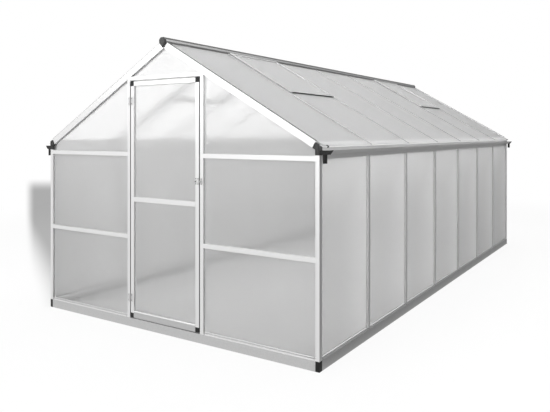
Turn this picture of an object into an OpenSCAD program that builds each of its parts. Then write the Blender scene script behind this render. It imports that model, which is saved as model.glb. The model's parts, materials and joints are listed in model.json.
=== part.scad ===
// Greenhouse with an aluminium frame, twin-wall polycarbonate sheets and a steel base.
// Millimetres. +Z up, +Y towards the back gable, +X towards the right wall.
// The origin is on the floor, in the middle of the plan.

/* [House] */
// Width over the outer faces of the corner posts
house_w = 2500; // [2100:10:3000]
// Length over the outer faces of the two gables
house_l = 4210; // [3500:10:5060]
// Height of the roof surface at the outer face of a side wall
eave_h = 1290; // [1200:5:1550]
// Rise of the roof surface from the side wall to the ridge line
roof_rise = 685; // [600:5:780]
// Number of bays along the house
bay_count = 7; // [6:1:8]

/* [Base] */
// Height of the steel base frame and of its foot caps
base_h = 60; // [50:1:72]
// Sheet thickness of the base frame
base_t = 1.5; // [1.2:0.1:2]
// Width of the return lips on the open side of the base channel
base_lip = 8; // [6:0.5:10]
// Length of the tongue that a foot cap pushes into a base channel
cap_tongue = 24; // [18:1:36]

/* [Aluminium frame] */
// Face width of the corner posts and door posts
post_w = 28; // [25:0.5:34]
// Depth of the frame profiles, from the outer face into the house
frame_d = 30; // [27:0.5:36]
// Wall thickness of the profiles
alu_t = 1.4; // [1.2:0.1:1.8]
// Chamfer along the outer edges of the profiles
edge_chamfer = 1; // [0.6:0.1:1.2]
// Height of the sill that carries the bottom edge of the sheets
sill_h = 10; // [9.5:0.5:14]
// Height of the horizontal gable rails
rail_h = 30; // [24:1:36]
// Height of the middle of the lower gable rail
low_rail_z = 630; // [500:5:760]
// Face width of the bars between the wall sheets
bar_w = 22; // [20:0.5:28]
// Height of the gable rafters, square to the slope
rafter_h = 40; // [34:1:50]
// Height of a rafter's lip above the roof sheets
lip_rise = 5; // [4:0.5:7]
// Width of a rafter's lip, over the edge of the roof sheets
lip_w = 11; // [9:0.5:14]

/* [Sheets] */
// Thickness of the polycarbonate sheets
sheet_t = 4; // [3.5:0.1:5]
// Distance from the outer face of the frame to the outer face of a wall sheet
sheet_inset = 14; // [11:0.5:16]
// How far a sheet reaches into its groove
sheet_lap = 6.5; // [5:0.5:8]

/* [Roof] */
// Face width of the bars between the roof sheets
roof_bar_w = 20; // [18:0.5:26]
// Face width of the caps that hold the roof sheets down
roof_cap_w = 14; // [12:0.5:17]
// Height of the caps above the sheets
roof_cap_rise = 4; // [3:0.5:6]
// Depth of a roof bar below the sheets
roof_bar_drop = 22; // [16:1:30]
// Width of the ridge profile
ridge_w = 56; // [48:1:70]
// Height of the ridge profile above the ridge line of the sheets
ridge_rise = 25; // [22:1:32]
// Depth of the ridge beam below the ridge line of the sheets
ridge_drop = 40; // [34:1:52]
// How far the roof sheets reach over the gutter
eave_overhang = 22; // [14:1:28]

/* [Eave and gutter] */
// Height of the face of the eave beam below the gutter
eave_face_h = 32; // [24:1:40]
// Distance from the roof surface down to the foot of the eave beam
eave_drop = 84; // [78:1:96]
// How far the gutter stands out from the side wall
gutter_out = 60; // [52:1:70]
// Depth of the gutter trough
gutter_deep = 19; // [16:1:24]
// How far the outer wall of the gutter leans out
gutter_flare = 18; // [14:1:22]
// Outer radius of the downpipe spigots
spigot_r = 13; // [11:0.5:13.5]
// Length of a downpipe spigot below its collar
spigot_l = 38; // [30:1:60]

/* [Vents] */
// Length of a roof vent along the slope
vent_l = 660; // [480:5:700]
// Width of the vent frame profile
vent_frame_w = 20; // [16:0.5:26]
// Height of the vent frame above the roof sheets
vent_rise = 10; // [8:0.5:14]

/* [Door] */
// Width of the door leaf without its seals
door_w = 650; // [560:5:760]
// Height of the door leaf
door_h = 1650; // [1500:5:1690]
// Width of the door stiles, and size of the corner caps
stile_w = 32; // [28:1:38]
// Height of the bottom rail of the door
door_foot_h = 48; // [38:1:60]
// Height of the middle rail of the door
door_mid_h = 34; // [26:1:40]
// Height of the middle of the door's middle rail
door_mid_z = 893; // [700:5:1100]
// Free gap between the closed door and its frame
door_gap = 5; // [5:0.5:7]
// Thickness of the door seal
seal_t = 3; // [2:0.5:4]
// Height of the rail over the door
header_h = 28; // [24:1:36]
// Radius of the hinge knuckles
knuckle_r = 5.5; // [5:0.1:6]
// Radius of the hinge pins
pin_r = 2.5; // [2:0.1:3]
// Height of a door hinge
hinge_h = 56; // [44:1:72]
// Height of the middle of the lower door hinge
low_hinge_z = 204; // [180:1:260]
// Height of the middle of the upper door hinge
high_hinge_z = 1579; // [1300:5:1600]
// Height of the middle of the door latch
latch_z = 1043; // [960:1:1200]

/* [Hidden] */
$fn = 32;

// Clearances
slot_gap = 0.3;
butt_gap = 0.2;
running_gap = 0.05;
stop_gap = 5;
over = 1;

// Grooves that hold the sheets
groove_w = sheet_t + 2 * slot_gap;
groove_deep = sheet_lap + 1;
groove_y = sheet_inset - slot_gap;

// House levels and the roof slope
half_w = house_w / 2;
half_l = house_l / 2;
pitch = atan(roof_rise / half_w);
ridge_z = eave_h + roof_rise;
eave_foot = eave_h - eave_drop;
high_rail_z = eave_foot + 2;
sill_top = base_h + sill_h;
bay_l = house_l / bay_count;
vent_bays = [1, bay_count - 2];
slope_l = (half_w + eave_overhang) / cos(pitch);
ridge_side = ridge_w / 2 / cos(pitch);
ridge_flange = ridge_w / 2 - 2;
ridge_face_h = 14;
ridge_top_w = 22;
ridge_top_h = 9;
ridge_wall = 1.8;
sheet_start = ridge_side - 20;
sheet_gap = 3;
sheet_margin = 5;
rafter_end = (half_w - post_w) / cos(pitch);
cap_short = 6;

// Roof vents
vent_side = roof_cap_w / 2 + 2;
vent_wide = bay_l - 2 * vent_side;
vent_start = ridge_side + 2 * butt_gap;
vent_end = vent_start + vent_l;
vent_seat = 2;
vent_lift = vent_seat + slot_gap;
vent_edge = 2;
vent_corner = vent_frame_w + 4;
vent_cap_t = 1.5;

// Eave corner
knuckle_foot = eave_foot + 22;
corner_d = max(post_w, frame_d);
knuckle_proud = 3;
knuckle_wall = 4;
gutter_floor = eave_foot + eave_face_h;
gutter_lip = gutter_floor + gutter_deep;
gutter_foot = gutter_floor - 3;
gutter_bead = 4;
outlet_wall = 3;
outlet_inset = 15;
outlet_x = half_w + (gutter_out - gutter_flare) / 2 + 7;
outlet_y = half_l - outlet_inset;
outlet_front = 1;
outlet_reach = 20;
collar_h = 12;

// Door opening and leaf
leaf_x = door_w / 2;
leaf_foot = base_h + stop_gap + 1;
leaf_top = leaf_foot + door_h;
post_in = leaf_x + seal_t + door_gap;
post_out = post_in + post_w;
header_z = leaf_top + seal_t + door_gap;
stop_w = 12;
stop_t = 2;
door_d = frame_d - stop_t - stop_gap;
door_inset = (door_d - sheet_t) / 2;
door_lap = 6;
rail_in = leaf_x - stile_w;
seal_d = 10;
seal_y = 4;

// Hinges and latch
hinge_third = hinge_h / 3;
hinge_list = [low_hinge_z, high_hinge_z];
hinge_x = -(leaf_x + post_in) / 2;
hinge_y = -half_l - knuckle_r - 1;
plate_t = 2;
plate_w = 24;
latch_plate_w = 28;
latch_plate_h = 44;
lever_t = 4;
lever_r = 6;
lever_l = 32;
hub_r = 8;
hub_l = 10;
plate_round = 3;
keeper_w = 18;
keeper_h = 40;
keeper_pad = 3.5;
bead_h = 8;
bead_out = 2.5;
splice_l = 80;

// ---- Profile sections ----
// A section starts at the middle of the outer face: +X across the face, +Y into the house.

// Outline of a profile with chamfered outer edges
module face_blank(w, d) {
  polygon([
    [edge_chamfer - w / 2, 0], [w / 2 - edge_chamfer, 0], [w / 2, edge_chamfer],
    [w / 2, d], [-w / 2, d], [-w / 2, edge_chamfer]
  ]);
}

// Two-chamber profile with a groove for a sheet on either side
module frame_section(w, left = true, right = true, d = frame_d, inset = sheet_inset) {
  gy = inset - slot_gap;
  inner_y = gy + groove_w + alu_t;
  difference() {
    face_blank(w, d);
    if (left) translate([-w / 2 - over, gy]) square([groove_deep + over, groove_w]);
    if (right) translate([w / 2 - groove_deep, gy]) square([groove_deep + over, groove_w]);
    translate([alu_t - w / 2, alu_t]) square([w - 2 * alu_t, gy - 2 * alu_t]);
    translate([alu_t - w / 2, inner_y]) square([w - 2 * alu_t, d - inner_y - alu_t]);
  }
}

// Corner post of the front right corner, its outer corner at the origin
module corner_section() {
  difference() {
    translate([-post_w, 0]) square([post_w, post_w]);
    translate([-post_w - over, groove_y]) square([groove_deep + over, groove_w]);
    translate([-groove_y - groove_w, post_w - groove_deep]) square([groove_w, groove_deep + over]);
    translate([alu_t - post_w, alu_t]) square([post_w - 2 * alu_t, groove_y - 2 * alu_t]);
    translate([alu_t - groove_y, alu_t]) square([groove_y - 2 * alu_t, post_w - 2 * alu_t]);
  }
}

// Folded steel channel, open to the inside, with return lips
module base_section() {
  depth = post_w;
  difference() {
    square([base_h, depth]);
    translate([base_t, base_t]) square([base_h - 2 * base_t, depth - 2 * base_t]);
    translate([base_lip, depth - base_t - over]) square([base_h - 2 * base_lip, base_t + 2 * over]);
  }
}

// Sill on the base: an upright groove for the bottom edge of the sheets
module sill_section() {
  face_in = 2;
  difference() {
    translate([0, face_in]) square([sill_h, frame_d - face_in]);
    translate([sill_h - groove_deep, groove_y]) square([groove_deep + over, groove_w]);
    translate([alu_t, face_in + alu_t]) square([sill_h, groove_y - face_in - 2 * alu_t]);
    translate([alu_t, groove_y + groove_w + alu_t])
      square([sill_h, frame_d - groove_y - groove_w - 2 * alu_t]);
  }
}

// Gable rafter: X runs down into the gable, square to the slope; the roof sheet lies under its lip
module rafter_section(lip = true) {
  top = sheet_t + slot_gap;
  foot = rafter_h - groove_deep - alu_t;
  difference() {
    union() {
      translate([top, 0]) square([rafter_h - top, frame_d]);
      if (lip) translate([-lip_rise, 0]) square([lip_rise + top + over, 4]);
      if (lip) translate([-lip_rise, 0]) square([lip_rise - slot_gap, lip_w]);
    }
    translate([rafter_h - groove_deep, groove_y]) square([groove_deep + over, groove_w]);
    translate([top + alu_t, alu_t]) square([foot - top - alu_t, frame_d - 2 * alu_t]);
  }
}

// Roof bar: a domed cap over the sheets, a neck between them and a box below
module roof_bar_cap_section() {
  neck = roof_bar_w - 2 * sheet_lap - 2;
  edge_h = 1.2;
  dome_h = roof_cap_rise - edge_h;
  dome_r = (pow(roof_cap_w / 2, 2) + pow(dome_h, 2)) / (2 * dome_h);
  translate([0, slot_gap]) intersection() {
    translate([-roof_cap_w / 2, 0]) square([roof_cap_w, roof_cap_rise]);
    translate([0, roof_cap_rise - dome_r]) circle(r = dome_r);
  }
  translate([-neck / 2, -sheet_t - slot_gap]) square([neck, sheet_t + 2 * slot_gap + over]);
}

module roof_bar_box_section() {
  top = -sheet_t - slot_gap;
  difference() {
    translate([-roof_bar_w / 2, top - roof_bar_drop]) square([roof_bar_w, roof_bar_drop]);
    translate([alu_t - roof_bar_w / 2, top - roof_bar_drop + alu_t])
      square([roof_bar_w - 2 * alu_t, roof_bar_drop - 2 * alu_t]);
  }
}

// Height of a line parallel to the roof surface, lifted square to it
function roof_z(x, lift = 0) = ridge_z - abs(x) * tan(pitch) + lift / cos(pitch);

// Outline of the ridge box for a given wall inset: upright faces at the foot and at the top,
// slanted ones between them
function ridge_box(inset) =
  let (
    hw = ridge_w / 2 - inset,
    side = ridge_top_w / 2 - inset,
    turn = inset * (sqrt(2) - 1),
    top = ridge_z + ridge_rise,
    foot = roof_z(hw, slot_gap + inset),
    low = roof_z(ridge_w / 2) + ridge_face_h - turn,
    high = top - ridge_top_h - turn
  ) [
    [0, roof_z(0, slot_gap + inset)], [hw, foot], [hw, low], [side, high], [side, top - inset],
    [-side, top - inset], [-side, high], [-hw, low], [-hw, foot]
  ];

// Upper box of the ridge, over the sheets, with a bolt channel along its top
module ridge_box_section() {
  channel_w = 7;
  channel_d = 3.5;
  difference() {
    polygon(ridge_box(0));
    difference() {
      polygon(ridge_box(ridge_wall));
      translate([-channel_w / 2 - ridge_wall, ridge_z + ridge_rise - channel_d - ridge_wall])
        square([channel_w + 2 * ridge_wall, channel_d + ridge_wall]);
    }
    translate([-channel_w / 2, ridge_z + ridge_rise - channel_d]) square([channel_w, channel_d + over]);
  }
}

// Lower beam of the ridge, between the rafters: two flanges under the sheets and a keel
module ridge_beam_section() {
  under = -sheet_t - 2 * slot_gap;
  flange = ridge_flange;
  flange_t = 2.2;
  keel = 6;
  low = ridge_z - ridge_drop;
  difference() {
    union() {
      polygon([
        [0, roof_z(0, under)], [flange, roof_z(flange, under)],
        [flange, roof_z(flange, under - flange_t)], [keel, roof_z(keel, under - flange_t)],
        [keel, low + keel], [0, low], [-keel, low + keel], [-keel, roof_z(keel, under - flange_t)],
        [-flange, roof_z(flange, under - flange_t)], [-flange, roof_z(flange, under)]
      ]);
      translate([-3, roof_z(3, under) - over]) square([6, roof_z(0, 2) - roof_z(3, under) + over]);
    }
    translate([alu_t - keel, low + keel + alu_t])
      square([2 * (keel - alu_t), roof_z(keel, under - flange_t) - low - keel - 2 * alu_t]);
  }
}

// Outline of the gutter trough, grown by a distance: x from the wall face, z from the floor
function trough(grow, x0, top) =
  let (
    lean = gutter_flare / (gutter_lip - gutter_foot),
    side = gutter_out + grow * sqrt(1 + lean * lean),
    foot = gutter_foot - grow
  ) [
    [x0, foot], [side + (foot - gutter_lip) * lean, foot],
    [side + (top - gutter_lip) * lean, top], [x0, top]
  ];

// Eave beam with its gutter, on the right wall, in the same measures
module eave_section() {
  roof_in = roof_z(half_w - frame_d, -sheet_t - slot_gap);
  roof_out = roof_z(half_w, -sheet_t - slot_gap);
  chamber = gutter_foot + alu_t;
  difference() {
    polygon([[-frame_d, eave_foot], [0, eave_foot], [0, roof_out], [-frame_d, roof_in]]);
    translate([-groove_y - groove_w, eave_foot - over]) square([groove_w, groove_deep + over]);
    translate([alu_t - frame_d, eave_foot + groove_deep + alu_t])
      square([frame_d - 2 * alu_t, chamber - eave_foot - groove_deep - 2 * alu_t]);
    polygon([
      [alu_t - frame_d, chamber], [-alu_t, chamber],
      [-alu_t, roof_out - 2 * alu_t], [alu_t - frame_d, roof_in - 2 * alu_t]
    ]);
  }
  difference() {
    polygon(trough(0, -alu_t / 2, gutter_lip));
    polygon(trough(-alu_t, 0, gutter_lip + over));
  }
  intersection() {
    polygon(trough(0, 0, gutter_lip));
    translate([gutter_out - gutter_bead, gutter_lip - alu_t]) square([gutter_bead, alu_t]);
  }
}

// ---- Placing ----

module run_y(y0, y1) {
  translate([0, y1, 0]) rotate([90, 0, 0]) linear_extrude(y1 - y0) children();
}

// Local +X runs down the right slope, +Y along the house, +Z out of the roof surface
module on_slope() {
  translate([0, 0, ridge_z]) rotate([0, pitch, 0]) children();
}

// A level bar on the front gable with its section's +X upwards
module gable_bar(x0, x1, z) {
  translate([x1, -half_l, z]) rotate([0, -90, 0]) linear_extrude(x1 - x0) children();
}

// The same on the right wall
module wall_rail(y0, y1, z) {
  translate([half_w, y1, z]) rotate([0, 0, 90]) rotate([0, -90, 0]) linear_extrude(y1 - y0) children();
}

module to_left() {
  mirror([1, 0, 0]) children();
}

module to_back() {
  mirror([0, 1, 0]) children();
}

module both_sides() {
  children();
  to_left() children();
}

module both_gables() {
  children();
  to_back() children();
}

// The gable's area below a line that is parallel to the roof, over a given depth
module gable_block(lift, y0, y1) {
  run_y(y0, y1) polygon([
    [-half_w, 0], [half_w, 0], [half_w, roof_z(half_w, lift)],
    [0, roof_z(0, lift)], [-half_w, roof_z(half_w, lift)]
  ]);
}

// ---- Base ----

module base_bar(len) {
  rotate([0, -90, 0]) linear_extrude(len) base_section();
}

// Two lengths that meet in the middle of the gable, and a splice plate behind the joint
module gable_base() {
  splice_h = base_h - 2 * base_t - 4;
  both_sides() translate([half_w - post_w, -half_l, 0])
    base_bar(half_w - post_w - butt_gap / 2);
  translate([-splice_l / 2, base_t - half_l, (base_h - splice_h) / 2])
    cube([splice_l, base_t, splice_h]);
}

module base_front() {
  color("silver") gable_base();
}

module base_back() {
  color("silver") to_back() gable_base();
}

module side_base() {
  translate([half_w, half_l - post_w, 0]) rotate([0, 0, 90]) base_bar(house_l - 2 * post_w);
}

module base_right() {
  color("silver") side_base();
}

module base_left() {
  color("silver") to_left() side_base();
}

// Foot cap: a square block in the corner with a tongue into each channel
module foot_cap() {
  tongue_in = base_t + slot_gap;
  tongue = post_w - 2 * tongue_in;
  tongue_h = base_h - 2 * tongue_in;
  wall = 3;
  translate([half_w - post_w, -half_l, 0]) difference() {
    union() {
      cube([post_w, post_w, base_h]);
      translate([-cap_tongue, tongue_in, tongue_in]) cube([cap_tongue + over, tongue, tongue_h]);
      translate([tongue_in, post_w - over, tongue_in]) cube([tongue, cap_tongue + over, tongue_h]);
    }
    translate([wall, wall, -over]) cube([post_w - 2 * wall, post_w - 2 * wall, base_h - wall + over]);
  }
}

module foot_caps() {
  color("#202020") both_gables() both_sides() foot_cap();
}

// ---- Sills ----

module front_sills() {
  color("gainsboro") both_sides()
    gable_bar(post_out + butt_gap, half_w - post_w - butt_gap, base_h) sill_section();
}

module back_sill() {
  x = half_w - post_w - butt_gap;
  color("gainsboro") to_back() gable_bar(-x, x, base_h) sill_section();
}

module side_sill() {
  y = half_l - corner_d - butt_gap;
  wall_rail(-y, y, base_h) sill_section();
}

module right_sill() {
  color("gainsboro") side_sill();
}

module left_sill() {
  color("gainsboro") to_left() side_sill();
}

// ---- Posts and bars of the walls ----

module corner_posts() {
  color("gainsboro") both_gables() both_sides()
    translate([half_w, -half_l, base_h]) linear_extrude(knuckle_foot - base_h) corner_section();
}

module wall_bars() {
  for (i = [1:bay_count - 1])
    translate([half_w, i * bay_l - half_l, sill_top]) rotate([0, 0, 90])
      linear_extrude(eave_foot - sill_top) frame_section(bar_w);
}

module right_wall_bars() {
  color("gainsboro") wall_bars();
}

module left_wall_bars() {
  color("gainsboro") to_left() wall_bars();
}

// Upright of a gable, from a given level up to the rafter
module gable_post(z0) {
  intersection() {
    translate([(post_in + post_out) / 2, -half_l, z0]) linear_extrude(ridge_z)
      frame_section(post_w);
    gable_block(-rafter_h, -half_l - over, -half_l + frame_d + over);
  }
}

module door_posts() {
  color("gainsboro") both_sides() union() {
    gable_post(base_h);
    translate([post_in - stop_w, frame_d - stop_t - half_l, base_h])
      cube([stop_w + over, stop_t, header_z - base_h]);
  }
}

module door_header() {
  color("gainsboro") intersection() {
    gable_bar(-post_in, post_in, header_z + header_h / 2) frame_section(header_h, left = false);
    gable_block(-rafter_h, -half_l - over, -half_l + frame_d + over);
  }
}

module side_rails(z) {
  both_sides() gable_bar(post_out, half_w - post_w, z) frame_section(rail_h);
}

module front_rails() {
  color("gainsboro") {
    side_rails(low_rail_z);
    side_rails(high_rail_z);
  }
}

module back_posts() {
  color("gainsboro") to_back() both_sides() gable_post(sill_top);
}

module back_rails() {
  color("gainsboro") to_back() for (z = [low_rail_z, high_rail_z]) {
    side_rails(z);
    gable_bar(-post_in, post_in, z) frame_section(rail_h);
  }
}

// ---- Roof frame ----

module rafter() {
  mitre = 0.1;
  intersection() {
    union() {
      translate([0, -half_l, ridge_z]) rotate([0, 90 + pitch, 0]) translate([0, 0, -rafter_h])
        linear_extrude(rafter_end + rafter_h) rafter_section(lip = false);
      translate([0, -half_l, ridge_z]) rotate([0, 90 + pitch, 0]) translate([0, 0, ridge_side + butt_gap])
        linear_extrude(rafter_end - ridge_side - butt_gap) rafter_section();
    }
    translate([mitre, -half_l - over, 0]) cube([house_w, frame_d + 2 * over, ridge_z + 100]);
  }
}

module front_rafters() {
  color("gainsboro") both_sides() rafter();
}

module back_rafters() {
  color("gainsboro") to_back() both_sides() rafter();
}

module eave_gutter() {
  end_y = half_l - corner_d;
  translate([half_w, 0, 0]) run_y(-end_y, end_y) eave_section();
}

module right_eave_gutter() {
  color("silver") eave_gutter();
}

module left_eave_gutter() {
  color("silver") to_left() eave_gutter();
}

// Outline of a knuckle in the plane of the gable: a head in line with the rafter, with one round
// corner, and a neck in line with the corner post
module knuckle_outline(top, inset = 0) {
  round_r = 9 - inset / 2;
  head = rafter_end + inset;
  foot = inset - rafter_h;
  in_x = half_w - post_w + inset;
  intersection() {
    union() {
      translate([0, ridge_z]) rotate(-pitch) {
        translate([head, foot]) square([rafter_h, top - foot - round_r]);
        translate([head + round_r, foot]) square([rafter_h, top - foot]);
        translate([head + round_r, top - round_r]) circle(r = round_r);
      }
      polygon([
        [in_x, knuckle_foot + inset], [half_w, knuckle_foot + inset],
        [half_w, roof_z(half_w, top - 2)], [in_x, roof_z(in_x, foot + 2)]
      ]);
    }
    translate([in_x - 2 * rafter_h, knuckle_foot + inset])
      square([half_w - inset - in_x + 2 * rafter_h, rafter_h + base_h]);
  }
}

// Moulded knuckle that joins post, rafter and eave beam: a front wall with ribs that follow the
// bend, and a body behind it under the roof sheet, with a groove for the corner of the gable sheet
module eave_knuckle() {
  rim = 2.5;
  rib_at = 7;
  rib_w = 1.6;
  pocket = 2.2;
  under = -sheet_t - slot_gap;
  slot_x = half_w - post_w + groove_deep;
  slot_in = slot_x - rafter_h - groove_deep;
  difference() {
    union() {
      run_y(-half_l - knuckle_proud, -half_l + knuckle_wall) knuckle_outline(0);
      run_y(-half_l, -half_l + corner_d) knuckle_outline(under);
    }
    run_y(-half_l - knuckle_proud - over, -half_l - knuckle_proud + pocket) difference() {
      knuckle_outline(-rim, rim);
      difference() {
        knuckle_outline(-rib_at, rib_at);
        knuckle_outline(-rib_at - rib_w, rib_at + rib_w);
      }
    }
    run_y(groove_y - half_l, groove_y + groove_w - half_l) polygon([
      [slot_in, knuckle_foot - over], [slot_x, knuckle_foot - over],
      [slot_x, roof_z(slot_x, groove_deep - rafter_h)],
      [slot_in, roof_z(slot_in, groove_deep - rafter_h)]
    ]);
  }
}

module eave_knuckles() {
  color("#303030") both_gables() both_sides() eave_knuckle();
}

// Moulded end of a gutter: a cup that closes the trough, with a spigot for a downpipe under it
// and a sleeve that reaches back round the trough
module gutter_outlet() {
  bore = spigot_r - outlet_wall;
  skin = outlet_wall + slot_gap;
  trough_end = corner_d - half_l;
  cup_foot = gutter_foot - skin;
  axis = [outlet_x, -outlet_y];
  difference() {
    union() {
      translate([half_w, 0, 0]) run_y(outlet_front - half_l, trough_end + outlet_reach)
        polygon(trough(skin, slot_gap, gutter_lip));
      translate([axis.x, axis.y, cup_foot - collar_h])
        cylinder(h = collar_h + over, r1 = spigot_r, r2 = outlet_inset - outlet_front);
      translate([axis.x, axis.y, cup_foot - collar_h - spigot_l])
        cylinder(h = spigot_l + over, r = spigot_r);
    }
    translate([half_w, 0, 0]) {
      run_y(outlet_front + outlet_wall - half_l, trough_end)
        polygon(trough(slot_gap, slot_gap + outlet_wall, gutter_lip + over));
      run_y(trough_end - slot_gap, trough_end + outlet_reach + over)
        polygon(trough(slot_gap, -over, gutter_lip + over));
    }
    translate([axis.x, axis.y, cup_foot - collar_h - spigot_l - over])
      cylinder(h = collar_h + spigot_l + gutter_deep, r = bore);
  }
}

module gutter_outlets() {
  color("#202020") both_gables() both_sides() gutter_outlet();
}

module ridge_beam() {
  color("darkgray") union() {
    run_y(-half_l, half_l) ridge_box_section();
    run_y(frame_d + butt_gap - half_l, half_l - frame_d - butt_gap) ridge_beam_section();
  }
}

// Moulded cap over the end of the ridge, bevelled towards its face
module ridge_end_cap() {
  depth = 16;
  bevel = 5;
  bevel_scale = 0.83;
  shoulder = 14;
  side_drop = 12;
  tip_drop = ridge_drop + 4;
  hw = ridge_w / 2;
  outline = [
    [0, -tip_drop], [hw, -side_drop], [hw, ridge_rise - shoulder], [hw - shoulder, ridge_rise],
    [shoulder - hw, ridge_rise], [-hw, ridge_rise - shoulder], [-hw, -side_drop]
  ];
  translate([0, 0, ridge_z]) hull() {
    run_y(-half_l - depth + bevel, -half_l) polygon(outline);
    run_y(-half_l - depth, -half_l) scale([bevel_scale, bevel_scale]) polygon(outline);
  }
}

module ridge_end_caps() {
  color("#606060") both_gables() ridge_end_cap();
}

// Roof bar: the cap runs from the ridge box to the gutter, the box from ridge flange to eave beam
module roof_bar(y) {
  cap_start = ridge_side + butt_gap;
  box_x = ridge_flange + butt_gap;
  beam_x = half_w - frame_d - butt_gap;
  union() {
    on_slope() translate([cap_start, y, 0]) rotate([90, 0, 90])
      linear_extrude(slope_l - cap_start - cap_short) roof_bar_cap_section();
    intersection() {
      on_slope() translate([0, y, 0]) rotate([90, 0, 90]) linear_extrude(slope_l)
        roof_bar_box_section();
      translate([box_x, y - roof_bar_w, 0]) cube([beam_x - box_x, 2 * roof_bar_w, ridge_z]);
    }
  }
}

module roof_bars() {
  for (i = [1:bay_count - 1]) roof_bar(i * bay_l - half_l);
}

module right_roof_bars() {
  color("gainsboro") roof_bars();
}

module left_roof_bars() {
  color("gainsboro") to_left() roof_bars();
}

// ---- Vents ----

// Cross bar under the lower edge of a vent, with a groove for the roof sheet below it
module vent_sill(i) {
  y0 = i * bay_l - half_l + roof_bar_w / 2 + butt_gap;
  under = 16;
  out = 10;
  on_slope() translate([vent_end - under, y0, 0]) rotate([90, 0, 0]) mirror([0, 0, 1])
    linear_extrude(bay_l - roof_bar_w - 2 * butt_gap) difference() {
      translate([0, -roof_bar_drop]) square([under + out, roof_bar_drop + vent_seat]);
      translate([under + 2, -sheet_t - slot_gap]) square([out, groove_w]);
      translate([alu_t, alu_t - roof_bar_drop])
        square([under + out - 2 * alu_t, roof_bar_drop - sheet_t - slot_gap - 2 * alu_t]);
    }
}

module vent_sills() {
  color("gainsboro") both_sides() for (i = vent_bays) vent_sill(i);
}

// One side of a vent frame along local +X: its groove faces +Y, its outer edge is at Y 0
module vent_bar(len) {
  slot_z = vent_seat - slot_gap;
  bevel = 1.5;
  rotate([90, 0, 90]) linear_extrude(len) difference() {
    polygon([
      [0, 0], [vent_frame_w, 0], [vent_frame_w, vent_rise - bevel],
      [vent_frame_w - bevel, vent_rise], [bevel, vent_rise], [0, vent_rise - bevel]
    ]);
    translate([vent_frame_w - groove_deep, slot_z]) square([groove_deep + over, groove_w]);
    translate([alu_t, alu_t]) square([vent_frame_w - groove_deep - 2 * alu_t, vent_rise - 2 * alu_t]);
  }
}

// Cap on a lower corner of a vent frame: it covers the open end of the side bar
module vent_cap() {
  side = vent_corner - vent_edge;
  translate([vent_l - side, vent_edge, vent_rise - over])
    cube([side + vent_cap_t, side, vent_cap_t + over]);
  translate([vent_l - over, vent_edge, vent_edge])
    cube([vent_cap_t + over, side, vent_rise + vent_cap_t - vent_edge]);
}

// Side bar of a vent frame, with a skirt that reaches down to the roof bar
module vent_side_bar() {
  skirt_t = vent_side + butt_gap > roof_bar_w / 2 ? alu_t : roof_bar_w / 2 - vent_side;
  skirt_h = vent_lift + sheet_t;
  vent_bar(vent_l);
  translate([0, 0, -skirt_h]) cube([vent_l, skirt_t, skirt_h + over]);
  vent_cap();
}

// Vent frame: two bars down the slope and two across between them
module vent_frame(i) {
  y0 = i * bay_l - half_l + vent_side;
  across = vent_wide - 2 * vent_frame_w;
  on_slope() translate([vent_start, y0, vent_lift]) {
    vent_side_bar();
    translate([0, vent_wide, 0]) mirror([0, 1, 0]) vent_side_bar();
    translate([0, vent_frame_w + across, 0]) rotate([0, 0, -90]) vent_bar(across);
    translate([vent_l, vent_frame_w, 0]) rotate([0, 0, 90]) vent_bar(across);
  }
}

module vent_frames() {
  color("gainsboro") both_sides() for (i = vent_bays) vent_frame(i);
}

module vent_sheet(i) {
  y0 = i * bay_l - half_l + vent_side;
  edge = vent_frame_w - sheet_lap;
  on_slope() translate([vent_start + edge, y0 + edge, vent_lift + vent_seat])
    cube([vent_l - 2 * edge, vent_wide - 2 * edge, sheet_t]);
}

module vent_sheets() {
  color("lightgray") both_sides() for (i = vent_bays) vent_sheet(i);
}

// ---- Sheets ----

// Wall sheet in the plane of a gable, cut along the rafter
module gable_sheet(x0, x1, z0, z1) {
  y0 = sheet_inset - half_l;
  intersection() {
    translate([x0, y0, z0]) cube([x1 - x0, sheet_t, z1 - z0]);
    gable_block(sheet_lap - rafter_h, y0 - over, y0 + sheet_t + over);
  }
}

module side_gable_sheets() {
  x0 = post_out - sheet_lap;
  x1 = half_w - post_w + sheet_lap;
  levels = [sill_top, low_rail_z - rail_h / 2, low_rail_z + rail_h / 2, high_rail_z - rail_h / 2];
  both_sides() {
    gable_sheet(x0, x1, levels[0] - sheet_lap, levels[1] + sheet_lap);
    gable_sheet(x0, x1, levels[2] - sheet_lap, levels[3] + sheet_lap);
    gable_sheet(x0, x1, high_rail_z + rail_h / 2 - sheet_lap, ridge_z);
  }
}

module front_sheets() {
  x = post_in + sheet_lap;
  color("lightgray") {
    side_gable_sheets();
    gable_sheet(-x, x, header_z + header_h - sheet_lap, ridge_z);
  }
}

module back_sheets() {
  x = post_in + sheet_lap;
  color("lightgray") to_back() {
    side_gable_sheets();
    gable_sheet(-x, x, sill_top - sheet_lap, low_rail_z - rail_h / 2 + sheet_lap);
    gable_sheet(-x, x, low_rail_z + rail_h / 2 - sheet_lap, high_rail_z - rail_h / 2 + sheet_lap);
    gable_sheet(-x, x, high_rail_z + rail_h / 2 - sheet_lap, ridge_z);
  }
}

// Free edge of a sheet, measured along the house, at line number i
function wall_edge(i, dir) =
  i == 0 ? post_w - sheet_lap - half_l :
  i == bay_count ? half_l - post_w + sheet_lap :
  i * bay_l - half_l + dir * (bar_w / 2 - sheet_lap);

module wall_sheets() {
  for (i = [0:bay_count - 1])
    translate([half_w - sheet_inset - sheet_t, wall_edge(i, 1), sill_top - sheet_lap])
      cube([sheet_t, wall_edge(i + 1, -1) - wall_edge(i, 1), eave_foot - sill_top + 2 * sheet_lap]);
}

module right_wall_sheets() {
  color("lightgray") wall_sheets();
}

module left_wall_sheets() {
  color("lightgray") to_left() wall_sheets();
}

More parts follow.
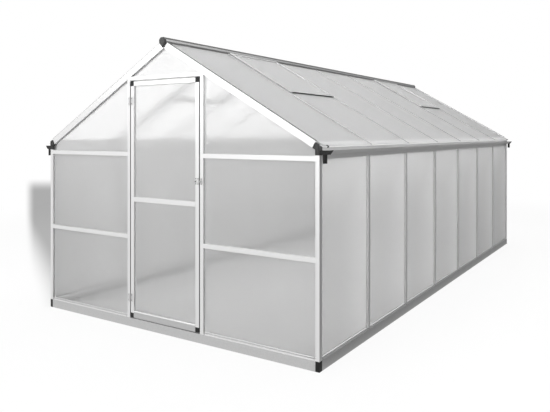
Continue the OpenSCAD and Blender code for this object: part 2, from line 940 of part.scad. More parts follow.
function roof_edge(i, dir) =
  i == 0 ? sheet_margin - half_l :
  i == bay_count ? half_l - sheet_margin :
  i * bay_l - half_l + dir * (roof_bar_w / 2 - sheet_lap);

function is_vent(i) = len([for (b = vent_bays) if (b == i) b]) > 0;

module roof_sheets() {
  for (i = [0:bay_count - 1]) {
    start = is_vent(i) ? vent_end + sheet_gap : sheet_start;
    on_slope() translate([start, roof_edge(i, 1), -sheet_t])
      cube([slope_l - start, roof_edge(i + 1, -1) - roof_edge(i, 1), sheet_t]);
  }
}

module right_roof_sheets() {
  color("lightgray") roof_sheets();
}

module left_roof_sheets() {
  color("lightgray") to_left() roof_sheets();
}

// ---- Door ----

module door_stile() {
  translate([leaf_x - stile_w / 2, -half_l, leaf_foot + stile_w])
    linear_extrude(door_h - 2 * stile_w)
      frame_section(stile_w, right = false, d = door_d, inset = door_inset);
}

module door_stiles() {
  color("gainsboro") both_sides() door_stile();
}

module door_rail(z0, h, low, high) {
  gable_bar(-rail_in, rail_in, z0 + h / 2) {
    frame_section(h, left = low, right = high, d = door_d, inset = door_inset);
    if (!low) translate([h / 2 - bead_h, 0]) polygon([
      [0, over], [0, -1], [bead_out - 1, -bead_out], [bead_h - 2, -bead_out], [bead_h, -1],
      [bead_h, over]
    ]);
  }
}

module door_rails() {
  color("gainsboro") {
    door_rail(leaf_foot, door_foot_h, false, true);
    door_rail(door_mid_z - door_mid_h / 2, door_mid_h, true, true);
    door_rail(leaf_top - stile_w, stile_w, true, false);
  }
}

// Moulded cap round a corner of the leaf: its outer corner is round, and a pocket in the
// inner one takes the corner of a sheet
module door_corner_cap(z0, up) {
  round_r = 6;
  pocket = door_lap + over;
  translate([leaf_x - stile_w, -half_l, z0]) difference() {
    rotate([90, 0, 0]) mirror([0, 0, 1]) linear_extrude(door_d) union() {
      square([stile_w - round_r, stile_w]);
      translate([0, up ? 0 : round_r]) square([stile_w, stile_w - round_r]);
      translate([stile_w - round_r, up ? stile_w - round_r : round_r]) circle(r = round_r);
    }
    translate([-over, door_inset - slot_gap, up ? -over : stile_w - pocket])
      cube([pocket + over, groove_w, pocket + over]);
  }
}

module door_corner_caps() {
  color("#202020") both_sides() {
    door_corner_cap(leaf_foot, false);
    door_corner_cap(leaf_top - stile_w, true);
  }
}

// Rubber seal: a strip up each side of the leaf and one across its top
module door_seal() {
  foot = leaf_foot + 8;
  color("#303030") translate([0, seal_y - half_l, 0]) {
    both_sides() translate([leaf_x, 0, foot]) cube([seal_t, seal_d, leaf_top - foot]);
    translate([-leaf_x - seal_t, 0, leaf_top]) cube([2 * (leaf_x + seal_t), seal_d, seal_t]);
  }
}

module door_sheets() {
  x = rail_in + door_lap;
  y = door_inset - half_l;
  low = leaf_foot + door_foot_h - door_lap;
  mid = door_mid_z - door_mid_h / 2 + door_lap;
  high = door_mid_z + door_mid_h / 2 - door_lap;
  top = leaf_top - stile_w + door_lap;
  color("lightgray") {
    translate([-x, y, low]) cube([2 * x, sheet_t, mid - low]);
    translate([-x, y, high]) cube([2 * x, sheet_t, top - high]);
  }
}

// ---- Door hinges and latch ----

// Upright plate on the face of the frame or the leaf, with round corners; x and z of its middle
module face_plate(x, z, w, h) {
  r = plate_round;
  translate([x, -half_l, z]) rotate([90, 0, 0]) linear_extrude(plate_t) {
    square([w - 2 * r, h], center = true);
    square([w, h - 2 * r], center = true);
    for (i = [-1, 1], j = [-1, 1]) translate([i * (w / 2 - r), j * (h / 2 - r)]) circle(r = r);
  }
}

// Knuckle round the hinge line, with the strap that joins it to its plate; dir is +1 on the door
module knuckle(z, h, dir) {
  strap_x = dir > 0 ? hinge_x : hinge_x - plate_w;
  difference() {
    union() {
      translate([hinge_x, hinge_y, z]) cylinder(h = h, r = knuckle_r);
      translate([strap_x, -half_l - plate_t, z]) cube([plate_w, plate_t, h]);
      translate([dir > 0 ? hinge_x : hinge_x - knuckle_r, hinge_y, z])
        cube([knuckle_r, -half_l - hinge_y, h]);
    }
    translate([hinge_x, hinge_y, z - over]) cylinder(h = h + 2 * over, r = pin_r + running_gap);
  }
}

module door_hinge_leaves() {
  h = hinge_third - 2 * butt_gap;
  color("silver") for (z = hinge_list) union() {
    knuckle(z - h / 2, h, 1);
    translate([-leaf_x, -half_l - plate_t, z - hinge_h / 2]) cube([plate_w, plate_t, hinge_h]);
  }
}

module frame_hinge_leaves() {
  color("silver") for (z = hinge_list) union() {
    knuckle(z - hinge_h / 2, hinge_third, -1);
    knuckle(z + hinge_h / 2 - hinge_third, hinge_third, -1);
    translate([hinge_x - plate_w, -half_l - plate_t, z - hinge_h / 2])
      cube([plate_w - post_in - hinge_x, plate_t, hinge_h]);
  }
}

module hinge_pins() {
  head = 1.5;
  color("gray") for (z = hinge_list) union() {
    translate([hinge_x, hinge_y, z - hinge_h / 2 - head]) cylinder(h = hinge_h + 2 * head, r = pin_r);
    translate([hinge_x, hinge_y, z + hinge_h / 2]) cylinder(h = head, r = pin_r + 1);
  }
}

// Turn latch on the right stile: plate, hub and a lever that narrows towards its end
module door_latch() {
  x = leaf_x - stile_w / 2;
  tip_r = lever_r - 2;
  out = plate_t + hub_l + lever_t - over;
  color("gray") union() {
    face_plate(x, latch_z, latch_plate_w, latch_plate_h);
    translate([x, over - half_l - plate_t, latch_z]) rotate([90, 0, 0])
      cylinder(h = hub_l + over, r1 = hub_r, r2 = hub_r - 1);
    translate([x, lever_t - out - half_l, latch_z]) rotate([90, 0, 0]) linear_extrude(lever_t) {
      circle(r = lever_r);
      translate([lever_l, 0]) circle(r = tip_r);
      polygon([[0, -lever_r], [lever_l, -tip_r], [lever_l, tip_r], [0, lever_r]]);
    }
  }
}

// Keeper on the door post: a plate and the pad that the end of the lever turns over
module latch_keeper() {
  pad_w = 8;
  pad_h = 24;
  x = post_in + post_w / 2;
  color("gray") union() {
    face_plate(x, latch_z, keeper_w, keeper_h);
    translate([x - keeper_w / 2, -half_l - plate_t - keeper_pad, latch_z - pad_h / 2])
      cube([pad_w, keeper_pad + over, pad_h]);
  }
}

base_front();
base_back();
base_left();
base_right();
foot_caps();
front_sills();
back_sill();
left_sill();
right_sill();
corner_posts();
left_wall_bars();
right_wall_bars();
door_posts();
door_header();
front_rails();
back_posts();
back_rails();
front_rafters();
back_rafters();
left_eave_gutter();
right_eave_gutter();
eave_knuckles();
gutter_outlets();
ridge_beam();
ridge_end_caps();
left_roof_bars();
right_roof_bars();
vent_sills();
vent_frames();
vent_sheets();
front_sheets();
back_sheets();
left_wall_sheets();
right_wall_sheets();
left_roof_sheets();
right_roof_sheets();
frame_hinge_leaves();
hinge_pins();
latch_keeper();
door_stiles();
door_rails();
door_corner_caps();
door_seal();
door_sheets();
door_hinge_leaves();
door_latch();
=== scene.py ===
"""Looks of a walk-in greenhouse: aluminium frame, twin-wall sheets, steel base and hinged door.

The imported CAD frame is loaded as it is. Each sub-assembly dresses its own CAD nodes in procedural
finishes and adds the small parts that the CAD source leaves out, such as its screws and nuts.
Lengths are in metres, and MM turns millimetres into them. +Y runs from the door to the back gable.
"""

from __future__ import annotations

import json
import logging
import math
from dataclasses import dataclass, field, replace
from enum import Enum
from itertools import product
from typing import Any, Sequence

import bmesh
import bpy
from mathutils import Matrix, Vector

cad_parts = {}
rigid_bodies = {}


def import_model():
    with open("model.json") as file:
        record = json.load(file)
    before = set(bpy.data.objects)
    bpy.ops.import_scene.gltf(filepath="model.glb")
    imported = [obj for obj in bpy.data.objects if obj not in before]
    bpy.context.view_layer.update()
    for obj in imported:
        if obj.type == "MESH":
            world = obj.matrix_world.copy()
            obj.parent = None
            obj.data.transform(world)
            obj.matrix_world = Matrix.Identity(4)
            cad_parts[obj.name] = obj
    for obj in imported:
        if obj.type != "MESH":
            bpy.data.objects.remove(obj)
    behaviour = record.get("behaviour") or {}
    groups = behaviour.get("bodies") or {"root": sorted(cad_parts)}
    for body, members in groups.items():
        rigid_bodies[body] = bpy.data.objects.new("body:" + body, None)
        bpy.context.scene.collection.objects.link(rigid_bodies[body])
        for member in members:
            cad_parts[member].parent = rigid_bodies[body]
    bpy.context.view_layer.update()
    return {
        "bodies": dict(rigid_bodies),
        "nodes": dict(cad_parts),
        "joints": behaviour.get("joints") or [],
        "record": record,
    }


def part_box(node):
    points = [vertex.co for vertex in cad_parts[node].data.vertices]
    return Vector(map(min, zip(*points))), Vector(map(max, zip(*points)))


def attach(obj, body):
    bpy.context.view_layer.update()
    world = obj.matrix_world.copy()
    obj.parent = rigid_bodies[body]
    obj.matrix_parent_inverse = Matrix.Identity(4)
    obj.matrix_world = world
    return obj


LOG = logging.getLogger("greenhouse")
MM = 0.001
SEED = 7
NOISE_DETAIL = 3.0
NOISE_ROUGHNESS = 0.55
# Left and right, front and back, or low and high.
BOTH = (-1, 1)
FORWARD = (0.0, -1.0, 0.0)

Tree = bpy.types.NodeTree
Socket = bpy.types.NodeSocket


class Axis(Enum):
    """Direction in which a profile, sheet or panel runs."""

    X = (1.0, 0.0, 0.0)
    Y = (0.0, 1.0, 0.0)
    Z = (0.0, 0.0, 1.0)


class Wave(Enum):
    """Shape of the bands across a sheet."""

    ROUND = "SIN"
    SLOPED = "SAW"


# ---- Node helpers ----


def linear(hex_colour: str) -> tuple[float, float, float, float]:
    """Turns an sRGB hex colour into linear RGBA.

    Args:
        hex_colour: Six hex digits after a hash sign.

    Returns:
        Linear red, green, blue and an alpha of one.
    """
    # The sRGB curve: a short straight foot, then a power.
    channels = [int(hex_colour[i : i + 2], 16) / 255 for i in (1, 3, 5)]
    return (*(c / 12.92 if c <= 0.04045 else ((c + 0.055) / 1.055) ** 2.4 for c in channels), 1.0)


def add_node(
    tree: Tree, kind: str, inputs: dict[str | int, Any] | None = None, **settings: Any
) -> bpy.types.NodeOutputs:
    """Adds one node to a tree.

    Args:
        tree: The shader or geometry tree.
        kind: The node's type name.
        inputs: What feeds its inputs, by name or number: another node's socket or a plain value.
        settings: Properties of the node itself.

    Returns:
        The new node's outputs.
    """
    node = tree.nodes.new(kind)
    for name, value in settings.items():
        setattr(node, name, value)
    for key, value in (inputs or {}).items():
        if isinstance(value, bpy.types.NodeSocket):
            tree.links.new(value, node.inputs[key])
        else:
            node.inputs[key].default_value = value
    return node.outputs


@dataclass(frozen=True)
class Edge:
    """Soft edge of a region: where it begins and ends, and the value before and after it."""

    start: float
    end: float
    before: float = 0.0
    after: float = 1.0

    def over(self, tree: Tree, measure: Socket) -> Socket:
        """Draws the edge over a measure.

        Args:
            tree: The tree that gets the edge.
            measure: The place or share that the edge is set in.

        Returns:
            The value on either side, blended across the edge.
        """
        ends = {"From Min": self.start, "From Max": self.end}
        step = {"Value": measure, **ends, "To Min": self.before, "To Max": self.after}
        return add_node(tree, "ShaderNodeMapRange", step, interpolation_type="SMOOTHSTEP")["Result"]


# ---- Finishes ----

BUILT: dict[str, bpy.types.Material] = {}


@dataclass(frozen=True)
class Finish:
    """A named surface finish of one of the record's slots, with a procedural material."""

    name: str
    colour: str
    roughness: float
    shade: str
    spread: tuple[float, float] = field(default=(0.06, 0.06), kw_only=True)
    slot: str = field(default="", kw_only=True)

    def material(self) -> bpy.types.Material:
        """Gives the finish's material, built once and then shared.

        Returns:
            The material.
        """
        if self.name not in BUILT:
            made = bpy.data.materials.new(self.name)
            made.use_nodes = True
            made.node_tree.nodes.clear()
            surface = self.surface(made.node_tree)
            add_node(made.node_tree, "ShaderNodeOutputMaterial", {"Surface": surface})
            made.diffuse_color = linear(self.colour)
            BUILT[self.name] = made
        return BUILT[self.name]

    def surface(self, tree: Tree) -> Socket:
        """Adds the shader of this finish to its material's tree and returns it."""
        raise NotImplementedError

    def grain(self, tree: Tree, size_mm: float, along: Axis, run: float) -> Socket:
        """Adds a soft noise that is drawn out along one axis.

        Args:
            tree: The material's tree.
            size_mm: Size of the grain across its run.
            along: The axis that the grain follows.
            run: How many times longer than wide the grain is.

        Returns:
            The noise value from zero to one.
        """
        place = add_node(tree, "ShaderNodeTexCoord")["Object"]
        scale = tuple(1 / (size_mm * MM) / (run if a else 1) for a in along.value)
        drawn = add_node(tree, "ShaderNodeMapping", {"Vector": place, "Scale": scale})["Vector"]
        fine = {"Scale": 1.0, "Detail": NOISE_DETAIL, "Roughness": NOISE_ROUGHNESS}
        return add_node(tree, "ShaderNodeTexNoise", {"Vector": drawn, **fine})["Fac"]

    def tone(self, tree: Tree, factor: Socket) -> Socket:
        """Blends the finish's darker shade into its colour.

        Args:
            tree: The material's tree.
            factor: Zero for the shade, one for the colour.

        Returns:
            The blended colour.
        """
        colours = {0: factor, 6: linear(self.shade), 7: linear(self.colour)}
        return add_node(tree, "ShaderNodeMix", colours, data_type="RGBA")[2]

    def gloss(self, tree: Tree, factor: Socket) -> Socket:
        """Varies the roughness below and above the finish's own.

        Args:
            tree: The material's tree.
            factor: Zero for the glossiest spots, one for the dullest.

        Returns:
            The roughness.
        """
        less, more = self.spread
        reach = {"To Min": self.roughness - less, "To Max": self.roughness + more}
        return add_node(tree, "ShaderNodeMapRange", {"Value": factor, **reach})["Result"]


@dataclass(frozen=True)
class ExtrudedAluminium(Finish):
    """Mill-finish extrusion: pale satin metal with faint die lines along its length."""

    along: Axis = Axis.Z
    line_mm: float = 2.5
    line_run: float = 60.0
    spread: tuple[float, float] = field(default=(0.06, 0.08), kw_only=True)
    slot: str = field(default="mill_aluminium", kw_only=True)

    def surface(self, tree: Tree) -> Socket:
        """Adds the metal, whose die lines change its tone and gloss a little.

        Args:
            tree: The material's tree.

        Returns:
            The shader.
        """
        lines = self.grain(tree, self.line_mm, self.along, self.line_run)
        look = {"Base Color": self.tone(tree, lines), "Roughness": self.gloss(tree, lines)}
        return add_node(tree, "ShaderNodeBsdfPrincipled", {"Metallic": 1.0, **look})["BSDF"]


@dataclass(frozen=True)
class GalvanisedSteel(Finish):
    """Folded steel with a thin zinc coat: grey metal with soft spangles a few mm across."""

    spangle_mm: float = 5.0
    softness: float = 0.6
    spread: tuple[float, float] = field(default=(0.05, 0.08), kw_only=True)
    slot: str = field(default="galvanised_steel", kw_only=True)

    def surface(self, tree: Tree) -> Socket:
        """Adds the metal, in which each spangle has its own tone and gloss.

        Args:
            tree: The material's tree.

        Returns:
            The shader.
        """
        place = add_node(tree, "ShaderNodeTexCoord")["Object"]
        size = {"Scale": 1 / (self.spangle_mm * MM), "Smoothness": self.softness}
        cells = add_node(tree, "ShaderNodeTexVoronoi", {"Vector": place, **size}, feature="SMOOTH_F1")
        chance = add_node(tree, "ShaderNodeSeparateColor", {"Color": cells["Color"]})
        look = {
            "Base Color": self.tone(tree, chance["Red"]),
            "Roughness": self.gloss(tree, chance["Green"]),
        }
        return add_node(tree, "ShaderNodeBsdfPrincipled", {"Metallic": 1.0, **look})["BSDF"]


@dataclass(frozen=True)
class TwinWallSheet(Finish):
    """Frosted twin-wall polycarbonate: milky, lets soft light through, with fine flutes.

    The two thin walls bend the view far less than a solid block would, hence the low bends.
    """

    across: Axis
    through: float
    clear: float
    sharp: float
    flute_mm: float = 6.0
    streak_mm: float = 45.0
    streak_run: float = 30.0
    skin_roughness: float = 0.35
    skin_ior: float = 1.58
    haze_bend: float = 1.12
    crisp_bend: float = 1.05
    crisp_roughness: float = 0.12
    # Painted shade over each bay of a wall sheet, with painted light towards the bar and under the
    # eave.
    bay: float = 0.0
    bay_shade: str = "#F5F5F5"
    bar_light: Edge = Edge(0.35, 1.0)
    eave_light: Edge = Edge(0.85, 1.15, 0.0, 0.8)
    spread: tuple[float, float] = field(default=(0.05, 0.05), kw_only=True)
    slot: str = field(default="polycarbonate_wall", kw_only=True)

    def surface(self, tree: Tree) -> Socket:
        """Adds the sheet: flutes shade it, and two rough refractions blur what is behind it.

        Args:
            tree: The material's tree.

        Returns:
            The shader.
        """
        place = add_node(tree, "ShaderNodeTexCoord")["Object"]
        tone = self.tone(tree, self.bands(tree, place, self.flute_mm * MM, Wave.ROUND, 0.0))
        # Painted light and shade over each bay of the wall sheets.
        if self.bay:
            tone = self.painted_bay_light(tree, place, tone)
        streaks = self.gloss(tree, self.grain(tree, self.streak_mm, Axis.Z, self.streak_run))
        look = {"Base Color": tone, "Roughness": self.skin_roughness, "IOR": self.skin_ior}
        skin = add_node(tree, "ShaderNodeBsdfPrincipled", look)[0]
        milky = add_node(tree, "ShaderNodeBsdfTranslucent", {"Color": tone})[0]
        haze = {"Color": tone, "Roughness": streaks, "IOR": self.haze_bend}
        hazy = add_node(tree, "ShaderNodeBsdfRefraction", haze)[0]
        fine = {"Color": tone, "Roughness": self.crisp_roughness, "IOR": self.crisp_bend}
        crisp = add_node(tree, "ShaderNodeBsdfRefraction", fine)[0]
        blurred = add_node(tree, "ShaderNodeMixShader", {0: self.sharp, 1: hazy, 2: crisp})[0]
        soft = add_node(tree, "ShaderNodeMixShader", {0: self.clear, 1: milky, 2: blurred})[0]
        return add_node(tree, "ShaderNodeMixShader", {0: self.through, 1: skin, 2: soft})[0]

    def bands(self, tree: Tree, place: Socket, period: float, wave: Wave, phase: float) -> Socket:
        """Adds bands across the sheet.

        Args:
            tree: The material's tree.
            place: Place on the sheet.
            period: Distance from one band to the next.
            wave: Shape of a band.
            phase: Shift of the bands, in radians.

        Returns:
            The band value from zero to one.
        """
        # A wave texture of scale one repeats every pi / 10 of a metre.
        waves = {"Vector": place, "Scale": math.pi / 10 / period, "Phase Offset": phase}
        shape = {"bands_direction": self.across.name, "wave_profile": wave.value}
        return add_node(tree, "ShaderNodeTexWave", waves, **shape)["Fac"]

    def painted_bay_light(self, tree: Tree, place: Socket, tone: Socket) -> Socket:
        """Paints shade over a wall sheet, with painted light left towards the next bar and under the
        eave.

        Args:
            tree: The material's tree.
            place: Place on the sheet.
            tone: Colour of the sheet at its brightest.

        Returns:
            The colour over each bay.
        """
        # With an odd number of bays, a bar stands half a bay from the middle of the house.
        steps = self.bands(tree, place, self.bay, Wave.SLOPED, math.pi)
        height = add_node(tree, "ShaderNodeSeparateXYZ", {"Vector": place})["Z"]
        light = {0: self.bar_light.over(tree, steps), 1: self.eave_light.over(tree, height)}
        lit = add_node(tree, "ShaderNodeMath", light, operation="MAXIMUM")[0]
        unlit = add_node(tree, "ShaderNodeMath", {0: 1.0, 1: lit}, operation="SUBTRACT")[0]
        bay_shaded = {0: unlit, 6: tone, 7: linear(self.bay_shade)}
        return add_node(tree, "ShaderNodeMix", bay_shaded, data_type="RGBA", blend_type="MULTIPLY")[2]


@dataclass(frozen=True)
class MouldedPlastic(Finish):
    """Moulded nylon, rubber or bead: matt, with a fine even grain."""

    sheen: float
    grain_mm: float = 1.2
    grain_deep: float = 0.2 * MM
    grain_strength: float = 0.25
    ior: float = 1.5
    slot: str = field(default="black_plastic", kw_only=True)

    def surface(self, tree: Tree) -> Socket:
        """Adds the plastic, with a fine grain in its tone, gloss and height.

        Args:
            tree: The material's tree.

        Returns:
            The shader.
        """
        grain = self.grain(tree, self.grain_mm, Axis.Z, 1)
        depth = {"Strength": self.grain_strength, "Distance": self.grain_deep}
        look = {
            "Base Color": self.tone(tree, grain),
            "Roughness": self.gloss(tree, grain),
            "Normal": add_node(tree, "ShaderNodeBump", {"Height": grain, **depth})["Normal"],
            "IOR": self.ior,
            "Specular IOR Level": self.sheen,
        }
        return add_node(tree, "ShaderNodeBsdfPrincipled", look)["BSDF"]


# Extruded frame profiles, left as they come from the press: bright satin with faint die lines.
ALUMINIUM = {
    axis: ExtrudedAluminium(f"Mill aluminium along {axis.name}", "#E8E8E8", 0.4, "#DCDCDC", axis)
    for axis in Axis
}
# Thin cap profiles between the roof sheets: rougher, and greyer than the frame's aluminium as painted
# shade, so they read as fine grey lines.
ROOF_ALUMINIUM_SHADED = ExtrudedAluminium("Roof bar aluminium", "#A2A2A2", 0.5, "#959595", Axis.X)
# Frames of the roof vents: greyer than the frame's aluminium as painted shade, a little brighter than
# the bars beside them.
VENT_ALUMINIUM_SHADED = ExtrudedAluminium("Vent frame aluminium", "#BEBEBE", 0.5, "#B2B2B2", Axis.X)
# Face of the door's bottom rail: greyer than the bead above it, painted shade of the rail's lower
# face.
KICK_SHADE = ExtrudedAluminium("Brushed aluminium strip", "#C0C0C0", 0.5, "#B4B4B4", Axis.X)
# Ridge profile: a darker grey than the frame's aluminium, painted shade, nearly matt.
RIDGE_SHADED = ExtrudedAluminium(
    "Ridge aluminium", "#989898", 0.6, "#8A8A8A", Axis.Y, slot="ridge_aluminium"
)
# Folded base frame: smooth zinc with small, faint spangles.
STEEL = GalvanisedSteel("Galvanised steel", "#C4C4C4", 0.5, "#BDBDBD")
# Hinges, latch and nuts: bright plated steel, glossier than the profiles.
FITTING = ExtrudedAluminium("Zinc-plated steel", "#DEDEDE", 0.35, "#C8C8C8", slot="fitting_steel")
# Screws of the hinges, latch and sills: dark dots on the bright metal.
DARK_FITTING = ExtrudedAluminium("Blackened steel", "#3C3C3C", 0.4, "#2E2E2E", slot="fitting_steel")
# Foot caps, door corners and gutter outlets: near black, with a soft gleam.
BLACK = MouldedPlastic("Black nylon", "#141414", 0.4, "#0A0A0A", 0.25)
# Eave knuckles and ridge caps: dark grey, so that their ribs and rims show.
CHARCOAL = MouldedPlastic("Charcoal nylon", "#3E3E3E", 0.4, "#262626", 0.35, slot="grey_plastic")
# Door seal and vent seals: flat black lines; the vent seals also paint the shade at the vents' edges.
RUBBER = MouldedPlastic("Seal rubber", "#262626", 0.75, "#1C1C1C", 0.2, slot="rubber_seal")
# Rubber strips on the rafters' lips: a grey line along each gable, which also paints the shade along
# the lips.
GASKET = MouldedPlastic("Grey gasket rubber", "#5E5E5E", 0.7, "#505050", 0.2, slot="rubber_seal")
# Beads at the feet of the sheets: a pale line on the sills, which also paints the light on the sills'
# tops.
BEAD = MouldedPlastic(
    "White glazing bead", "#C8C8C8", 0.5, "#C0C0C0", 0.3, slot="polycarbonate_wall"
)
# Sheets of the gables and the door: the clearest, a blurred view through with fine flutes.
GABLE_SHEET = TwinWallSheet(
    "Gable polycarbonate", "#F6F6F6", 0.3, "#EFEFEF", Axis.X, through=0.94, clear=0.9, sharp=0.3
)
# Sheets of the long walls: half milky, half clear, with painted light towards the next bar and the
# eave.
WALL_SHEET = TwinWallSheet(
    "Wall polycarbonate", "#F2F2F2", 0.3, "#E8E8E8", Axis.Y, through=0.88, clear=0.5, sharp=0.5
)
# Sheets of the roof and its vents: milky, they glow with the light above them.
ROOF_SHEET = TwinWallSheet(
    "Roof polycarbonate",
    "#F6F6F6",
    0.32,
    "#EFEFEF",
    Axis.Y,
    through=0.91,
    clear=0.15,
    sharp=0.2,
    slot="polycarbonate_roof",
)


# ---- Stage ----


@dataclass(frozen=True)
class Rays:
    """Factors of one tree that tell which rays look at it."""

    camera: Socket
    through: Socket
    mirror: Socket
    seen: Socket

    @classmethod
    def of(cls, tree: Tree) -> Rays:
        """Adds the factors. Rays through a sheet count as glossy too, so mirror leaves them out.

        Args:
            tree: The tree of a world or a material.

        Returns:
            The factors.
        """
        path = add_node(tree, "ShaderNodeLightPath")
        camera, glossy = path["Is Camera Ray"], path["Is Glossy Ray"]
        through = path["Is Transmission Ray"]
        less = {0: glossy, 1: through}
        mirror = add_node(tree, "ShaderNodeMath", less, operation="SUBTRACT", use_clamp=True)[0]
        first = add_node(tree, "ShaderNodeMath", {0: camera, 1: glossy}, operation="MAXIMUM")[0]
        seen = add_node(tree, "ShaderNodeMath", {0: first, 1: through}, operation="MAXIMUM")[0]
        return cls(camera, through, mirror, seen)


@dataclass(frozen=True)
class Lamp:
    """A square area lamp that faces the middle of the house."""

    name: str
    place: tuple[float, float, float]
    size: float
    power: float
    mirrored: bool = True
    aim: tuple[float, float, float] = (0.0, 0.0, 0.9)

    def build(self) -> None:
        """Adds the lamp, which metal mirrors only if it is said to."""
        data = bpy.data.lights.new(self.name, "AREA")
        data.shape = "SQUARE"
        data.size = self.size
        data.energy = self.power
        lamp = bpy.data.objects.new(self.name, data)
        lamp.location = self.place
        lamp.visible_glossy = self.mirrored
        direction = Vector(self.aim) - Vector(self.place)
        lamp.rotation_euler = direction.to_track_quat("-Z", "Y").to_euler()
        bpy.context.scene.collection.objects.link(lamp)


@dataclass
class Floor:
    """White floor, with the long soft shadow of the house drawn past its left wall.

    The shadow keeps its place in every view: eye and turn only set the line that it ends along.
    """

    eye: tuple[float, float, float]
    turn: float
    white: float
    # Glow of the painted reflection beyond the right wall, which only metal mirrors.
    reflection_shade: float
    half: float = 60.0
    drop: float = 1 * MM
    colour: str = "#E2E2E2"
    # Darker floor for rays through the sheets: painted shade of the floor inside the house.
    shaded_seen_through: str = "#C6C6C6"
    front: float = 0.9
    glow: float = 0.9
    # Glow inside the painted shadow of the house.
    shadow: float = 0.42
    shadow_across: tuple[float, float, float] = (0.4526, 0.8918, 0.0)
    house_half: tuple[float, float] = (1.25, 2.105)
    # How far out the floor turns fully white, where metal mirrors it dark as a painted reflection,
    # and the house's walls.
    fade: Edge = Edge(4.2, 7.5)
    reflection_shade_right: Edge = Edge(1.15, 1.35)
    reflection_shade_behind: Edge = Edge(-2.4, -1.9)
    walls: Edge = Edge(0.97, 1.0)
    # The painted shadow's edges: beside the wall, at its two ends, far off and along its line.
    shadow_left: Edge = Edge(-1.3, -1.2, 1.0, 0.0)
    shadow_start: Edge = Edge(-2.52, -2.2)
    shadow_end: Edge = Edge(1.0, 1.6, 1.0, 0.0)
    shadow_far: Edge = Edge(13.0, 17.0, 1.0, 0.0)
    shadow_side: Edge = Edge(-0.605, -0.585)

    def build(self) -> None:
        """Adds the floor just below the house."""
        half = self.half
        corners = [(-half, -half, 0), (half, -half, 0), (half, half, 0), (-half, half, 0)]
        mesh = bpy.data.meshes.new("floor")
        mesh.from_pydata(corners, [], [(0, 1, 2, 3)])
        mesh.materials.append(self.material())
        floor = bpy.data.objects.new("floor", mesh)
        floor.location.z = -self.drop
        bpy.context.scene.collection.objects.link(floor)

    def material(self) -> bpy.types.Material:
        """Builds the floor's material: it glows white where it is seen, and is matt elsewhere.

        Returns:
            The material.
        """
        material = bpy.data.materials.new("floor_white")
        material.use_nodes = True
        tree = material.node_tree
        tree.nodes.clear()
        rays = Rays.of(tree)
        place = add_node(tree, "ShaderNodeTexCoord")["Object"]
        # Rays through the sheets see the darker floor: painted shade.
        tones = {0: rays.through, 6: linear(self.colour), 7: linear(self.shaded_seen_through)}
        tone = add_node(tree, "ShaderNodeMix", tones, data_type="RGBA")[2]
        matt = add_node(tree, "ShaderNodeBsdfDiffuse", {"Color": tone})[0]
        light = {0: rays.mirror, 2: self.direct(tree, place, rays), 3: self.mirrored(tree, place)}
        strength = add_node(tree, "ShaderNodeMix", light, data_type="FLOAT")[0]
        glow = add_node(tree, "ShaderNodeEmission", {"Strength": strength})[0]
        share = {0: rays.seen, 1: self.lit(tree, place, rays)}
        amount = add_node(tree, "ShaderNodeMath", share, operation="MULTIPLY")[0]
        mixed = add_node(tree, "ShaderNodeMixShader", {0: amount, 1: matt, 2: glow})
        add_node(tree, "ShaderNodeOutputMaterial", {"Surface": mixed[0]})
        return material

    def mirrored(self, tree: Tree, place: Socket) -> Socket:
        """Gives the brightness that metal mirrors: dark beyond the right wall, a painted reflection
        that greys the metal.

        Args:
            tree: The floor's tree.
            place: Place on the floor.

        Returns:
            The strength of the glow.
        """
        spot = add_node(tree, "ShaderNodeSeparateXYZ", {"Vector": place})
        corner = {0: self.reflection_shade_right.over(tree, spot["X"]), 1: self.reflection_shade_behind.over(tree, spot["Y"])}
        dark = add_node(tree, "ShaderNodeMath", corner, operation="MULTIPLY")[0]
        reach = {"Value": dark, "To Min": self.front, "To Max": self.reflection_shade}
        return add_node(tree, "ShaderNodeMapRange", reach)["Result"]

    def direct(self, tree: Tree, place: Socket, rays: Rays) -> Socket:
        """Gives the brightness that is seen directly: white, with the painted shadow of the house in
        it.

        Args:
            tree: The floor's tree.
            place: Place on the floor.
            rays: The tree's ray factors.

        Returns:
            The strength of the glow.
        """
        sin, cos = math.sin(self.turn), math.cos(self.turn)
        away = {0: place, 1: self.eye}
        offset = add_node(tree, "ShaderNodeVectorMath", away, operation="SUBTRACT")[0]
        right, across, depth, aside = (
            add_node(tree, "ShaderNodeVectorMath", {0: point, 1: along}, operation="DOT_PRODUCT")[1]
            for point, along in (
                (place, Axis.X.value),
                (place, self.shadow_across),
                (offset, (-sin, cos, 0.0)),
                (offset, (cos, sin, 0.0)),
            )
        )
        view = add_node(tree, "ShaderNodeMath", {0: aside, 1: depth}, operation="DIVIDE")[0]
        # The painted shadow: the camera sees the floor darker inside these edges.
        shade = rays.camera
        for edge, measure in (
            (self.shadow_left, right),
            (self.shadow_start, across),
            (self.shadow_end, across),
            (self.shadow_far, depth),
            (self.shadow_side, view),
        ):
            both = {0: shade, 1: edge.over(tree, measure)}
            shade = add_node(tree, "ShaderNodeMath", both, operation="MULTIPLY")[0]
        reach = {"Value": shade, "To Min": self.white, "To Max": self.shadow}
        return add_node(tree, "ShaderNodeMapRange", reach)["Result"]

